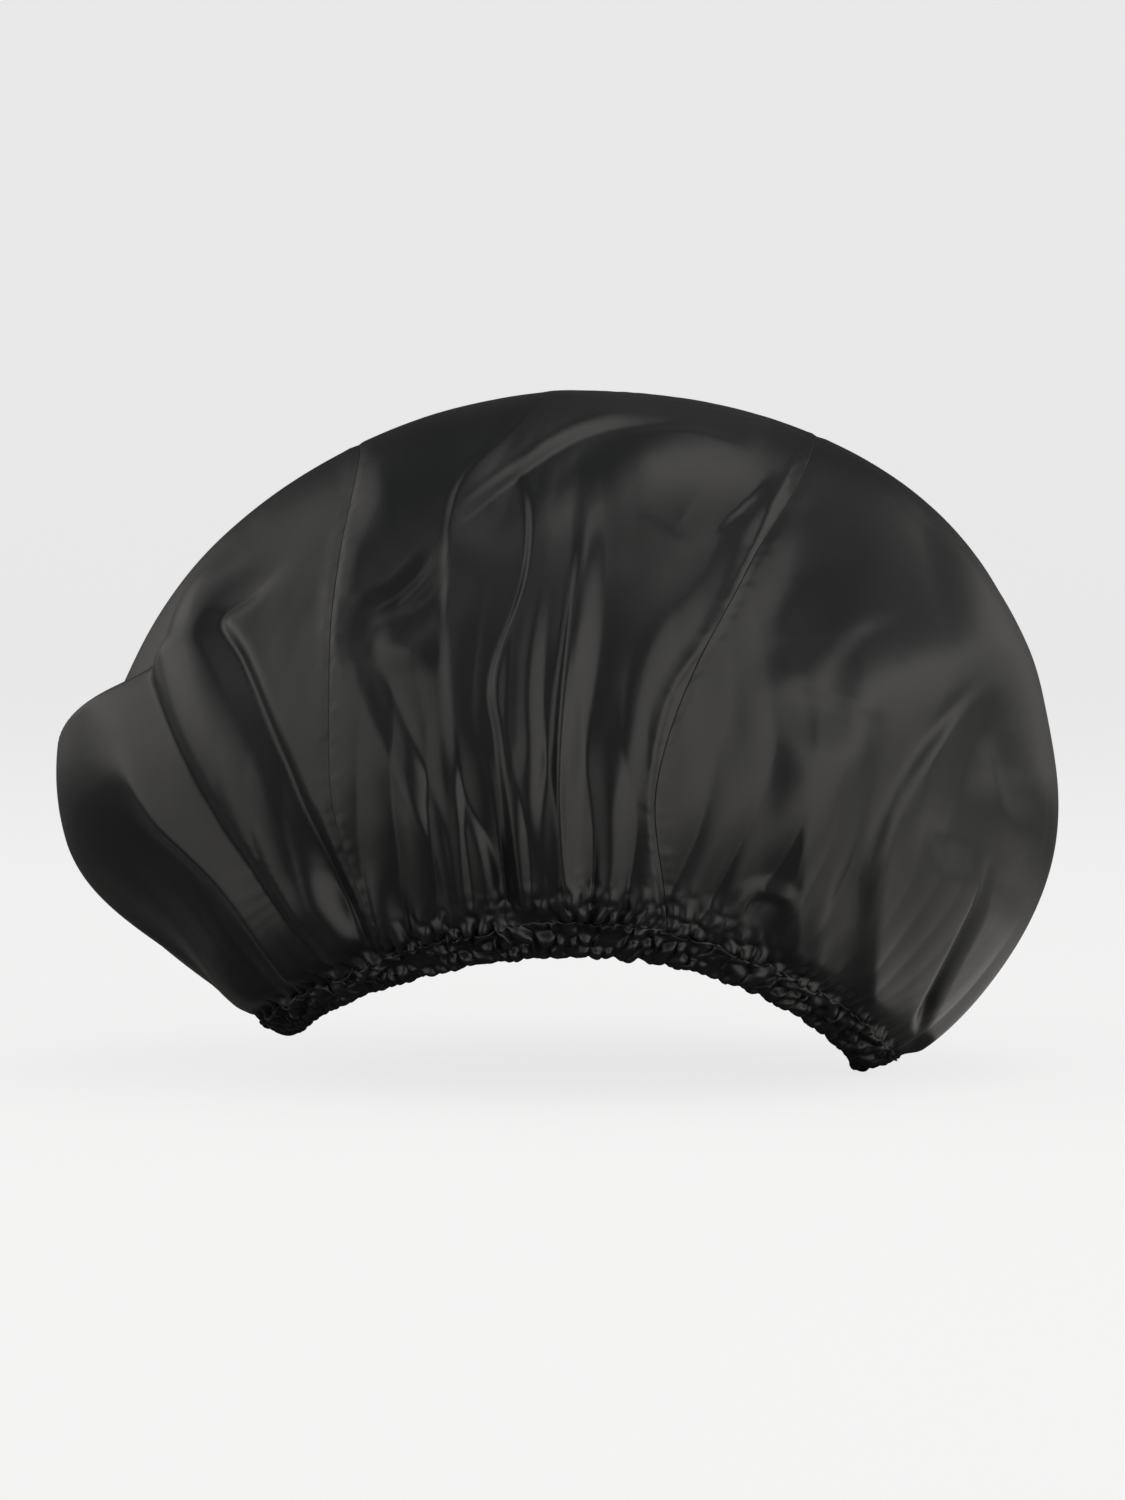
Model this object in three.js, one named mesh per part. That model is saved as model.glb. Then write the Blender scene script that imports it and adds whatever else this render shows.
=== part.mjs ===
// Satin hair bonnet: three satin panels sewn edge to edge and gathered into a hem casing
// that holds an elastic band.
// Millimetres, +Z up, the front faces -Y. The origin is the middle of the head opening.
import * as THREE from 'three';

// Head opening, measured to the lower edge of the hem
const OPENING_HALF_WIDTH = 88;
const OPENING_HALF_DEPTH = 92;
const LEFT_HEM_HEIGHT = 1;
const RIGHT_HEM_HEIGHT = -11;
const FRONT_HEM_HEIGHT = 32;
const BACK_HEM_HEIGHT = 28;

// Puffed crown: how far the cloth reaches on each side, how high its widest point lies, and how full it is
const CROWN_HEIGHT = 206;
const LEFT_REACH = 153;
const LEFT_REACH_HEIGHT = 82;
const LEFT_FULLNESS = 1.82;
const RIGHT_REACH = 155;
const RIGHT_REACH_HEIGHT = 70;
const RIGHT_FULLNESS = 2.15;
const FRONT_REACH = 110;
const FRONT_REACH_HEIGHT = 88;
const FRONT_FULLNESS = 2.2;
const BACK_REACH = 142;
const BACK_REACH_HEIGHT = 90;
const BACK_FULLNESS = 2.1;
const UNDERSIDE_FULLNESS = 1.55;
const FRONT_UNDERSIDE_FULLNESS = 1.25;
const UNDERSIDE_SHARE = 0.36;
const ARCH_SHARPNESS = 1.5;

// Loose wing of cloth that stands out low on the left
const WING_REACH = 15;
const WING_HEIGHT = 68;
const WING_SPREAD = 26;
const WING_NARROWNESS = 4;

// Cloth, thread and elastic
const CLOTH_THICKNESS = 0.6;
const THREAD_DIAMETER = 0.4;
const CLEARANCE = 0.3;
const ELASTIC_WIDTH = 8;
const ELASTIC_THICKNESS = 1.2;
const ELASTIC_LAP_LENGTH = 24;
const ELASTIC_RAMP_LENGTH = 36;
const BAR_TACK_TURNS = 7;
const BAR_TACK_MARGIN = 0.15;

// Seams: the cloth edges turn in between the panels, and an overlock edging binds them
const SEAM_ALLOWANCE = 6;
const OVERLOCK_HEIGHT = 3;
const OVERLOCK_WALL = 0.6;

// Hem casing: a folded tunnel with a stitched mouth at its top
const CASING_FOLD_HEIGHT = 1.6;
const STITCH_MARGIN = 2.4;
const RUCHE_COUNT = 44;
const RUCHE_DEPTH = 1.8;

// Sizes that follow from those above
const SEAM_GAP = THREAD_DIAMETER + 2 * CLEARANCE;
const TUNNEL_WIDTH = ELASTIC_THICKNESS + 2 * CLEARANCE;
const LAP_EXTRA_WIDTH = ELASTIC_THICKNESS + THREAD_DIAMETER + 2 * CLEARANCE;
const MOUTH_WIDTH = THREAD_DIAMETER + 2 * CLEARANCE;
const ELASTIC_BOTTOM = CASING_FOLD_HEIGHT + CLEARANCE;
const ELASTIC_TOP = ELASTIC_BOTTOM + ELASTIC_WIDTH;
const TUNNEL_TOP = ELASTIC_TOP + CLEARANCE;
const CASING_HEIGHT = TUNNEL_TOP + STITCH_MARGIN;
const PANEL_START = CASING_HEIGHT + 2 * CLEARANCE;

// Points of each seam on the flattened disc of cloth, from the front hem over the crown to the back hem.
// The hem is the circle of radius 1, with the front at [0, -1] and the right at [1, 0].
const SEAM_POINTS = {
  left: [
    [-0.515, -0.857], [-0.345, -0.58], [-0.25, -0.26], [-0.235, 0], [-0.26, 0.38], [-0.34, 0.94],
  ],
  right: [
    [0.233, -0.972], [0.125, -0.8], [0.19, -0.47], [0.23, -0.25], [0.24, 0.05], [0.26, 0.4], [0.36, 0.933],
  ],
};

// Main folds seen from the front. A path's points are shares of the reach to that side and of the
// crown's height. Half width and height are shares of FOLD_SIZE, and a hollow has a negative height.
const FOLD_SIZE = 10;
const FRONT_FOLDS = [
  {
    name: 'outer left ridge', width: 0.8, height: 0.5,
    path: [[-0.88, 0.59], [-0.86, 0.5], [-0.79, 0.38], [-0.69, 0.24]],
  },
  {
    name: 'inner left ridge', width: 0.9, height: 0.6,
    path: [[-0.76, 0.68], [-0.78, 0.56], [-0.68, 0.36], [-0.55, 0.18]],
  },
  {
    name: 'left underside hollow', width: 0.9, height: -0.5,
    path: [[-0.95, 0.38], [-0.79, 0.26], [-0.67, 0.16]],
  },
  {
    name: 'pinch hollow', width: 1, height: -0.8,
    path: [[-0.47, 0.73], [-0.44, 0.65], [-0.39, 0.54]],
  },
  {
    name: 'pinch ridge', width: 0.6, height: 0.6,
    path: [[-0.43, 0.65], [-0.36, 0.68], [-0.29, 0.74]],
  },
  {
    name: 'slanting ridge', width: 0.6, height: 0.5,
    path: [[-0.42, 0.63], [-0.39, 0.58], [-0.34, 0.5], [-0.3, 0.39]],
  },
  {
    name: 'lapped fold', width: 0.7, height: 0.7,
    path: [[-0.12, 0.92], [-0.17, 0.89], [-0.28, 0.74], [-0.28, 0.5], [-0.25, 0.27]],
  },
  {
    name: 'left of centre ridge', width: 0.7, height: 0.6,
    path: [[-0.12, 0.85], [-0.11, 0.71], [-0.18, 0.55], [-0.16, 0.27]],
  },
  {
    name: 'centre ridge', width: 0.6, height: 0.7,
    path: [[0.01, 0.79], [-0.01, 0.66], [-0.05, 0.47], [-0.05, 0.27]],
  },
  {
    name: 'centre hollow', width: 0.9, height: -0.7,
    path: [[0.06, 0.68], [0.06, 0.53], [0.05, 0.38], [0.03, 0.27]],
  },
  {
    name: 'right panel hollow', width: 1.4, height: -0.6,
    path: [[0.39, 0.68], [0.52, 0.66], [0.65, 0.67]],
  },
  {
    name: 'right panel ridge', width: 0.8, height: 0.6,
    path: [[0.48, 0.5], [0.5, 0.41], [0.48, 0.31], [0.45, 0.2]],
  },
  {
    name: 'outer right ridge', width: 0.9, height: 0.6,
    path: [[0.82, 0.56], [0.69, 0.44], [0.63, 0.35], [0.55, 0.22]],
  },
  {
    name: 'right underside hollow', width: 0.7, height: -0.5,
    path: [[0.89, 0.28], [0.82, 0.2], [0.72, 0.08]],
  },
];

// Pleats that rise from the hem all the way round: long at the sides and back, and short between
// the front folds
const PLEAT_COUNT = 26;
const PLEAT_DEPTH = 6;
const PLEAT_HALF_ANGLE = THREE.MathUtils.degToRad(4.5);
const PLEAT_SHIFT = 0.25;
const PLEAT_VARIATION = 0.25;
const FRONT_PLEAT_SHORTNESS = 5;

// The front folds fade out round the sides between these two depths, and all folds fade out at the hem
const FRONT_FOLD_END = -30;
const BACK_PLEAT_START = 5;
const FOLD_FADE = 16;

// Mesh fineness
const PANEL_COLUMNS = 22;
const PANEL_ROWS = 25;
const HEM_STEPS = 2 * RUCHE_COUNT;
const STROKE_STEPS = 3;
const THREAD_SIDES = 4;
const POLE_ANGLE = THREE.MathUtils.degToRad(4);
const HEM_CLOSENESS = 3;
const MERIDIAN_STEPS = 160;
const PROBE = 0.004;

// Finish
const satin = new THREE.MeshStandardMaterial({ color: 0x2b2b2b, roughness: 0.38, metalness: 0 });
const thread = new THREE.MeshStandardMaterial({ color: 0x1b1c1e, roughness: 0.7, metalness: 0 });
const elastic = new THREE.MeshStandardMaterial({ color: 0x232323, roughness: 0.85, metalness: 0 });

const SIDES = {
  left: {
    opening: OPENING_HALF_WIDTH, hem: LEFT_HEM_HEIGHT,
    reach: LEFT_REACH, reachHeight: LEFT_REACH_HEIGHT, fullness: LEFT_FULLNESS,
    underside: UNDERSIDE_FULLNESS,
  },
  right: {
    opening: OPENING_HALF_WIDTH, hem: RIGHT_HEM_HEIGHT,
    reach: RIGHT_REACH, reachHeight: RIGHT_REACH_HEIGHT, fullness: RIGHT_FULLNESS,
    underside: UNDERSIDE_FULLNESS,
  },
  front: {
    opening: OPENING_HALF_DEPTH, hem: FRONT_HEM_HEIGHT,
    reach: FRONT_REACH, reachHeight: FRONT_REACH_HEIGHT, fullness: FRONT_FULLNESS,
    underside: FRONT_UNDERSIDE_FULLNESS,
  },
  back: {
    opening: OPENING_HALF_DEPTH, hem: BACK_HEM_HEIGHT,
    reach: BACK_REACH, reachHeight: BACK_REACH_HEIGHT, fullness: BACK_FULLNESS,
    underside: UNDERSIDE_FULLNESS,
  },
};

// Outline of one side, as two superellipse quarters: from the hem out to the widest point, then over
// to the crown
function sideOutline(side, t) {
  if (t < UNDERSIDE_SHARE) {
    const turn = (Math.PI / 2) * (t / UNDERSIDE_SHARE);
    const power = 2 / side.underside;
    return {
      radius: side.opening + (side.reach - side.opening) * Math.sin(turn) ** power,
      height: side.reachHeight - (side.reachHeight - side.hem) * Math.cos(turn) ** power,
    };
  }
  const turn = Math.min(1, (t - UNDERSIDE_SHARE) / (1 - UNDERSIDE_SHARE)) * (Math.PI / 2);
  const power = 2 / side.fullness;
  return {
    radius: side.reach * Math.max(0, Math.cos(turn)) ** power,
    height: side.reachHeight + (CROWN_HEIGHT - side.reachHeight) * Math.sin(turn) ** power,
  };
}

// A line up the cloth at one bearing, from the hem to the crown
class Meridian extends THREE.Curve {
  constructor(bearing) {
    super();
    this.across = Math.cos(bearing);
    this.along = Math.sin(bearing);
    this.arcLengthDivisions = MERIDIAN_STEPS;
  }

  getPoint(t, target = new THREE.Vector3()) {
    const sideways = sideOutline(this.across > 0 ? SIDES.right : SIDES.left, t);
    const lengthways = sideOutline(this.along > 0 ? SIDES.back : SIDES.front, t);
    return target.set(
      sideways.radius * this.across,
      lengthways.radius * this.along,
      THREE.MathUtils.lerp(sideways.height, lengthways.height, Math.abs(this.along) ** ARCH_SHARPNESS),
    );
  }
}

const meridians = new Map();

function meridianAt(bearing) {
  const key = bearing.toFixed(6);
  if (!meridians.has(key)) {
    meridians.set(key, new Meridian(bearing));
  }
  return meridians.get(key);
}

function pointUpMeridian(bearing, distance) {
  const meridian = meridianAt(bearing);
  return meridian.getPointAt(THREE.MathUtils.clamp(distance / meridian.getLength(), 0, 1));
}

// A place on the flattened disc as a bearing and a distance up the cloth from the hem
function placeOnCloth(across, along) {
  const bearing = Math.atan2(along, across);
  const length = meridianAt(bearing).getLength();
  const distance = PANEL_START + (length - PANEL_START) * (1 - Math.hypot(across, along));
  return { bearing, distance };
}

function distanceToPath(x, z, path) {
  let nearest = Infinity;
  for (let i = 1; i < path.length; i += 1) {
    const [x0, z0] = path[i - 1];
    const [dx, dz] = [path[i][0] - x0, path[i][1] - z0];
    const share = THREE.MathUtils.clamp(((x - x0) * dx + (z - z0) * dz) / (dx * dx + dz * dz), 0, 1);
    nearest = Math.min(nearest, Math.hypot(x - x0 - share * dx, z - z0 - share * dz));
  }
  return nearest;
}

const sideReach = (x) => (x > 0 ? RIGHT_REACH : LEFT_REACH);

const frontFolds = FRONT_FOLDS.map(({ path, width, height }) => ({
  path: path.map(([x, z]) => [x * sideReach(x), z * CROWN_HEIGHT]),
  width: width * FOLD_SIZE,
  height: height * FOLD_SIZE,
}));

const bell = (offset, width) => Math.exp(-((offset / width) ** 2));

// Height of the folds over the smooth puffed shape
function foldHeight(point, bearing, distance) {
  const front = 1 - THREE.MathUtils.smoothstep(point.y, FRONT_FOLD_END, BACK_PLEAT_START);
  let height = 0;
  for (const fold of frontFolds) {
    height += front * fold.height * bell(distanceToPath(point.x, point.z, fold.path), fold.width);
  }
  const rise = 1 - distance / meridianAt(bearing).getLength();
  const pleatRise = THREE.MathUtils.lerp(rise, rise ** FRONT_PLEAT_SHORTNESS, front);
  for (let k = 0; k < PLEAT_COUNT; k += 1) {
    const pleatBearing = (2 * Math.PI * (k + PLEAT_SHIFT * Math.sin(5 * k))) / PLEAT_COUNT;
    const turn = Math.atan2(Math.sin(bearing - pleatBearing), Math.cos(bearing - pleatBearing));
    const depth = PLEAT_DEPTH * (1 - PLEAT_VARIATION + PLEAT_VARIATION * Math.cos(3 * k));
    height += depth * pleatRise * bell(turn, PLEAT_HALF_ANGLE);
  }
  const towardsLeft = Math.max(0, -Math.cos(bearing));
  height += WING_REACH * towardsLeft ** WING_NARROWNESS * bell(point.z - WING_HEIGHT, WING_SPREAD);
  return height * THREE.MathUtils.smoothstep(distance, PANEL_START, PANEL_START + FOLD_FADE);
}

// The way out of a surface, from short steps across and along it
function normalOf(surface, across, along) {
  const sideways = surface(across + PROBE, along).sub(surface(across - PROBE, along));
  const lengthways = surface(across, along + PROBE).sub(surface(across, along - PROBE));
  return sideways.cross(lengthways).normalize();
}

function smoothSurface(across, along) {
  const { bearing, distance } = placeOnCloth(across, along);
  return pointUpMeridian(bearing, distance);
}

// The middle of the cloth, folds included
function clothSurface(across, along) {
  const { bearing, distance } = placeOnCloth(across, along);
  const point = pointUpMeridian(bearing, distance);
  const normal = normalOf(smoothSurface, across, along);
  return point.addScaledVector(normal, foldHeight(point, bearing, distance));
}

// One closed body from points and triangles, its faces pointing out
function solid(points, triangles) {
  let volume = 0;
  for (const [a, b, c] of triangles) {
    volume += points[a].dot(points[b].clone().cross(points[c]));
  }
  const geometry = new THREE.BufferGeometry().setFromPoints(points);
  geometry.setIndex(triangles.flatMap(([a, b, c]) => (volume > 0 ? [a, b, c] : [a, c, b])));
  geometry.computeVertexNormals();
  return geometry;
}

// A sheet with thickness, between an outer and an inner grid of points
function sheetBetween(outer, inner) {
  const rows = outer.length;
  const columns = outer[0].length;
  const points = [...outer.flat(), ...inner.flat()];
  const top = (row, column) => row * columns + column;
  const under = (row, column) => rows * columns + top(row, column);
  const triangles = [];
  const quad = (a, b, c, d) => triangles.push([a, b, c], [a, c, d]);
  for (let row = 0; row < rows - 1; row += 1) {
    for (let column = 0; column < columns - 1; column += 1) {
      quad(top(row, column), top(row, column + 1), top(row + 1, column + 1), top(row + 1, column));
      quad(under(row, column), under(row + 1, column), under(row + 1, column + 1), under(row, column + 1));
    }
  }
  for (let row = 0; row < rows - 1; row += 1) {
    const last = columns - 1;
    quad(top(row, 0), top(row + 1, 0), under(row + 1, 0), under(row, 0));
    quad(top(row + 1, last), top(row, last), under(row, last), under(row + 1, last));
  }
  for (let column = 0; column < columns - 1; column += 1) {
    const last = rows - 1;
    quad(top(0, column + 1), top(0, column), under(0, column), under(0, column + 1));
    quad(top(last, column), top(last, column + 1), under(last, column + 1), under(last, column));
  }
  return solid(points, triangles);
}

// A body swept through rings of points: a closed loop, or an open run with a cap on each end
function sweep(rings, section, closed) {
  const sides = section.length;
  const points = rings.flat();
  const triangles = [];
  const runs = closed ? rings.length : rings.length - 1;
  for (let i = 0; i < runs; i += 1) {
    const here = i * sides;
    const next = ((i + 1) % rings.length) * sides;
    for (let k = 0; k < sides; k += 1) {
      const m = (k + 1) % sides;
      triangles.push([here + k, here + m, next + m], [here + k, next + m, next + k]);
    }
  }
  if (!closed) {
    const end = (rings.length - 1) * sides;
    const reversed = THREE.ShapeUtils.isClockWise(section);
    for (const [a, b, c] of THREE.ShapeUtils.triangulateShape(section, [])) {
      const [p, q] = reversed ? [c, b] : [b, c];
      triangles.push([a, q, p], [end + a, end + p, end + q]);
    }
  }
  return solid(points, triangles);
}

// Hem frame

// A frame on the hem edge at one bearing: rise runs from the edge to the start of the panels,
// and out is square to it
function hemFrame(bearing) {
  const edge = pointUpMeridian(bearing, 0);
  const rise = pointUpMeridian(bearing, PANEL_START).sub(edge);
  const round = pointUpMeridian(bearing + PROBE, 0).sub(pointUpMeridian(bearing - PROBE, 0));
  const out = round.cross(rise).normalize();
  return { edge, rise, out };
}

const placeOnHem = (frame, up, out) => (
  frame.edge.clone().addScaledVector(frame.rise, up / PANEL_START).addScaledVector(frame.out, out)
);

// Seams

const seamCurves = {
  left: new THREE.SplineCurve(SEAM_POINTS.left.map(([x, y]) => new THREE.Vector2(x, y))),
  right: new THREE.SplineCurve(SEAM_POINTS.right.map(([x, y]) => new THREE.Vector2(x, y))),
};

// Rows run from the front hem, at -1, to the back hem, at 1
const rowPlaces = Array.from({ length: PANEL_ROWS }, (_, row) => (2 * row) / (PANEL_ROWS - 1) - 1);

// A seam's place on the disc at one row. Its two ends lie on the hem itself.
function seamPlace(side, row) {
  const place = seamCurves[side].getPointAt((row + 1) / 2);
  return Math.abs(row) === 1 ? place.normalize() : place;
}

// At each row of a seam: its point on the cloth, the way out of the cloth and the way across the seam.
// At the hem these line up with the casing, so that the turned-in edges end flush above it.
function seamFrames(side) {
  const places = rowPlaces.map((row) => seamPlace(side, row));
  const points = places.map((place) => clothSurface(place.x, place.y));
  return points.map((point, i) => {
    const onHem = Math.abs(rowPlaces[i]) === 1;
    const hem = hemFrame(places[i].angle());
    const run = onHem
      ? hem.rise.clone().multiplyScalar(-rowPlaces[i]).normalize()
      : points[i + 1].clone().sub(points[i - 1]).normalize();
    const facing = onHem ? hem.out : normalOf(smoothSurface, places[i].x, places[i].y);
    const across = run.clone().cross(facing).normalize();
    return { point, out: across.clone().cross(run).normalize(), across };
  });
}

const seamLines = { left: seamFrames('left'), right: seamFrames('right') };

const placeBySeam = (frame, across, out) => (
  frame.point.clone().addScaledVector(frame.across, across).addScaledVector(frame.out, out)
);

// The turned-in edge of a panel, as pairs of outer and inner points from the fold to the raw edge.
// hand is +1 for the panel on the right of the seam and -1 for the one on its left.
function turnedEdge(frame, hand) {
  const face = (hand * SEAM_GAP) / 2;
  const back = face + hand * CLOTH_THICKNESS;
  const half = CLOTH_THICKNESS / 2;
  return [
    { outer: placeBySeam(frame, face, half), inner: placeBySeam(frame, back, -half) },
    { outer: placeBySeam(frame, face, -SEAM_ALLOWANCE), inner: placeBySeam(frame, back, -SEAM_ALLOWANCE) },
  ];
}

// Panels

// The place on the hem where a side panel runs out, spread over a short stretch of hem
function polePlace(side, row) {
  const turn = side === 'left' ? Math.PI - row * POLE_ANGLE : row * POLE_ANGLE;
  return new THREE.Vector2(Math.cos(turn), Math.sin(turn));
}

// A place between two places on the disc: along the hem's circle at the hem, straight across near the crown
function placeBetween(from, to, share, row) {
  const fromTurn = Math.atan2(from.y, from.x);
  const toTurn = Math.atan2(to.y, to.x);
  const wrapped = fromTurn - 2 * Math.PI * Math.round((fromTurn - toTurn) / (2 * Math.PI));
  const turn = THREE.MathUtils.lerp(wrapped, toTurn, share);
  const radius = THREE.MathUtils.lerp(from.length(), to.length(), share);
  const round = new THREE.Vector2(radius * Math.cos(turn), radius * Math.sin(turn));
  return from.clone().lerp(to, share).lerp(round, Math.abs(row) ** HEM_CLOSENESS);
}

// One panel between two edges. An edge is a seam, or the place on the hem where a side panel runs out.
function panel(leftSeam, rightSeam) {
  const outer = [];
  const inner = [];
  rowPlaces.forEach((row, i) => {
    const from = leftSeam ? seamPlace(leftSeam, row) : polePlace('left', row);
    const to = rightSeam ? seamPlace(rightSeam, row) : polePlace('right', row);
    const pairs = [];
    for (let column = 0; column <= PANEL_COLUMNS; column += 1) {
      const atSeam = (column === 0 && leftSeam) || (column === PANEL_COLUMNS && rightSeam);
      if (!atSeam) {
        const place = placeBetween(from, to, column / PANEL_COLUMNS, row);
        const middle = clothSurface(place.x, place.y);
        const out = normalOf(clothSurface, place.x, place.y).multiplyScalar(CLOTH_THICKNESS / 2);
        pairs.push({ outer: middle.clone().add(out), inner: middle.clone().sub(out) });
      }
    }
    if (leftSeam) {
      pairs.unshift(...turnedEdge(seamLines[leftSeam][i], 1).reverse());
    }
    if (rightSeam) {
      pairs.push(...turnedEdge(seamLines[rightSeam][i], -1));
    }
    outer.push(pairs.map((pair) => pair.outer));
    inner.push(pairs.map((pair) => pair.inner));
  });
  return sheetBetween(outer, inner);
}

// Thread and overlock edging along a seam, which stop one row short of the hem at both ends
const innerRows = (frames) => frames.slice(1, -1);

function threadSection(diameter) {
  return Array.from({ length: THREAD_SIDES }, (_, k) => {
    const turn = (2 * Math.PI * k) / THREAD_SIDES;
    return new THREE.Vector2((diameter / 2) * Math.cos(turn), (diameter / 2) * Math.sin(turn));
  });
}

function seamThread(frames) {
  const section = threadSection(THREAD_DIAMETER);
  const rings = innerRows(frames).map((frame) => (
    section.map((p) => placeBySeam(frame, p.x, p.y - CLOTH_THICKNESS))
  ));
  return sweep(rings, section, false);
}

function overlock(frames) {
  const inside = SEAM_GAP / 2 + CLOTH_THICKNESS + CLEARANCE;
  const outside = inside + OVERLOCK_WALL;
  const floor = -SEAM_ALLOWANCE - CLEARANCE;
  const top = floor + OVERLOCK_HEIGHT;
  const bottom = floor - OVERLOCK_WALL;
  const section = [
    [outside, top], [outside, bottom], [-outside, bottom], [-outside, top],
    [-inside, top], [-inside, floor], [inside, floor], [inside, top],
  ].map(([across, out]) => new THREE.Vector2(across, out));
  const rings = innerRows(frames).map((frame) => section.map((p) => placeBySeam(frame, p.x, p.y)));
  return sweep(rings, section, false);
}

// Hem

// The elastic's lap lies at the middle of the back. The tunnel widens there.
const LAP_BEARING = Math.PI / 2;
const LAP_ANGLE = ELASTIC_LAP_LENGTH / OPENING_HALF_WIDTH;
const RAMP_ANGLE = ELASTIC_RAMP_LENGTH / OPENING_HALF_WIDTH;
const RAMP_END_ANGLE = RAMP_ANGLE / 6;
const LAP_START = LAP_BEARING - LAP_ANGLE / 2;

function lapWidening(bearing) {
  const turn = Math.abs(Math.atan2(Math.sin(bearing - LAP_BEARING), Math.cos(bearing - LAP_BEARING)));
  const flat = LAP_ANGLE / 2 + RAMP_ANGLE;
  return LAP_EXTRA_WIDTH * (1 - THREE.MathUtils.smoothstep(turn, flat, flat + RAMP_ANGLE));
}

// The casing is one strip folded round the elastic: up the outside, round the fold and up the inside
function casingSection(bearing) {
  const wave = RUCHE_COUNT * bearing;
  const outerPuff = (RUCHE_DEPTH * (1 + Math.cos(wave))) / 2;
  const innerPuff = (RUCHE_DEPTH * (1 - Math.cos(wave))) / 2;
  const outerFace = -CLOTH_THICKNESS;
  const innerFace = outerFace - TUNNEL_WIDTH - lapWidening(bearing);
  const mouthFace = outerFace - MOUTH_WIDTH;
  const middle = (ELASTIC_BOTTOM + ELASTIC_TOP) / 2;
  return [
    [CASING_HEIGHT, 0],
    [middle, outerPuff],
    [ELASTIC_BOTTOM, outerPuff / 2],
    [0, (outerFace + innerFace) / 2],
    [ELASTIC_BOTTOM, innerFace - CLOTH_THICKNESS - innerPuff / 2],
    [middle, innerFace - CLOTH_THICKNESS - innerPuff],
    [TUNNEL_TOP, innerFace - CLOTH_THICKNESS - innerPuff / 2],
    [CASING_HEIGHT, mouthFace - CLOTH_THICKNESS],
    [CASING_HEIGHT, mouthFace],
    [TUNNEL_TOP, innerFace],
    [CASING_FOLD_HEIGHT, innerFace],
    [CASING_FOLD_HEIGHT, outerFace],
    [CASING_HEIGHT, outerFace],
  ].map(([up, out]) => new THREE.Vector2(up, out));
}

const hemBearings = Array.from({ length: HEM_STEPS }, (_, i) => (2 * Math.PI * i) / HEM_STEPS);

function hemCasing() {
  const rings = hemBearings.map((bearing) => {
    const frame = hemFrame(bearing);
    return casingSection(bearing).map((p) => placeOnHem(frame, p.x, p.y));
  });
  return sweep(rings, casingSection(0), true);
}

function hemThread() {
  const section = threadSection(THREAD_DIAMETER);
  const height = CASING_HEIGHT - THREAD_DIAMETER;
  const depth = -CLOTH_THICKNESS - MOUTH_WIDTH / 2;
  const rings = hemBearings.map((bearing) => {
    const frame = hemFrame(bearing);
    return section.map((p) => placeOnHem(frame, height + p.x, depth + p.y));
  });
  return sweep(rings, section, true);
}

// How far in from the outer layer the elastic lies after it has run a given angle from its first end
function lapOffset(travelled) {
  const left = 2 * Math.PI - travelled;
  const ramp = 1 - THREE.MathUtils.smoothstep(left, RAMP_END_ANGLE, RAMP_ANGLE);
  return (ELASTIC_THICKNESS + CLEARANCE) * ramp;
}

function elasticBand() {
  const section = [[ELASTIC_BOTTOM, 0], [ELASTIC_TOP, 0], [ELASTIC_TOP, -1], [ELASTIC_BOTTOM, -1]]
    .map(([up, layer]) => new THREE.Vector2(up, layer * ELASTIC_THICKNESS));
  const start = -CLOTH_THICKNESS - CLEARANCE;
  const whole = 2 * Math.PI + LAP_ANGLE;
  const rings = [];
  for (let i = 0; i <= HEM_STEPS; i += 1) {
    const travelled = (whole * i) / HEM_STEPS;
    const frame = hemFrame(LAP_START + travelled);
    rings.push(section.map((p) => placeOnHem(frame, p.x, start - lapOffset(travelled) + p.y)));
  }
  return sweep(rings, section, false);
}

// A zigzag bar tack on the inner face of the lapped ends
function elasticJoinThread() {
  const depth = CLOTH_THICKNESS + 3 * CLEARANCE + 2 * ELASTIC_THICKNESS + THREAD_DIAMETER / 2;
  const low = ELASTIC_BOTTOM + THREAD_DIAMETER;
  const high = ELASTIC_TOP - THREAD_DIAMETER;
  const strokes = 2 * BAR_TACK_TURNS;
  const turns = [];
  for (let i = 0; i <= strokes; i += 1) {
    const bearing = LAP_START + LAP_ANGLE * (BAR_TACK_MARGIN + ((1 - 2 * BAR_TACK_MARGIN) * i) / strokes);
    turns.push(placeOnHem(hemFrame(bearing), i % 2 ? high : low, -depth));
  }
  return new THREE.ExtrudeGeometry(new THREE.Shape(threadSection(THREAD_DIAMETER)), {
    steps: strokes * STROKE_STEPS,
    extrudePath: new THREE.CatmullRomCurve3(turns),
    bevelEnabled: false,
  });
}

// Assembly

const bonnet = new THREE.Group();

function addPiece(name, geometry, material) {
  const piece = new THREE.Mesh(geometry, material);
  piece.name = name;
  bonnet.add(piece);
}

addPiece('left_side_panel', panel(null, 'left'), satin);
addPiece('centre_panel', panel('left', 'right'), satin);
addPiece('right_side_panel', panel('right', null), satin);
addPiece('left_seam_thread', seamThread(seamLines.left), thread);
addPiece('right_seam_thread', seamThread(seamLines.right), thread);
addPiece('left_seam_overlock', overlock(seamLines.left), thread);
addPiece('right_seam_overlock', overlock(seamLines.right), thread);
addPiece('hem_casing', hemCasing(), satin);
addPiece('hem_thread', hemThread(), thread);
addPiece('elastic_band', elasticBand(), elastic);
addPiece('elastic_join_thread', elasticJoinThread(), thread);

export default bonnet;
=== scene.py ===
"""Satin hair bonnet: three sewn satin panels, seam threads, edging, a ruched hem and its elastic."""

from collections import namedtuple

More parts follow.
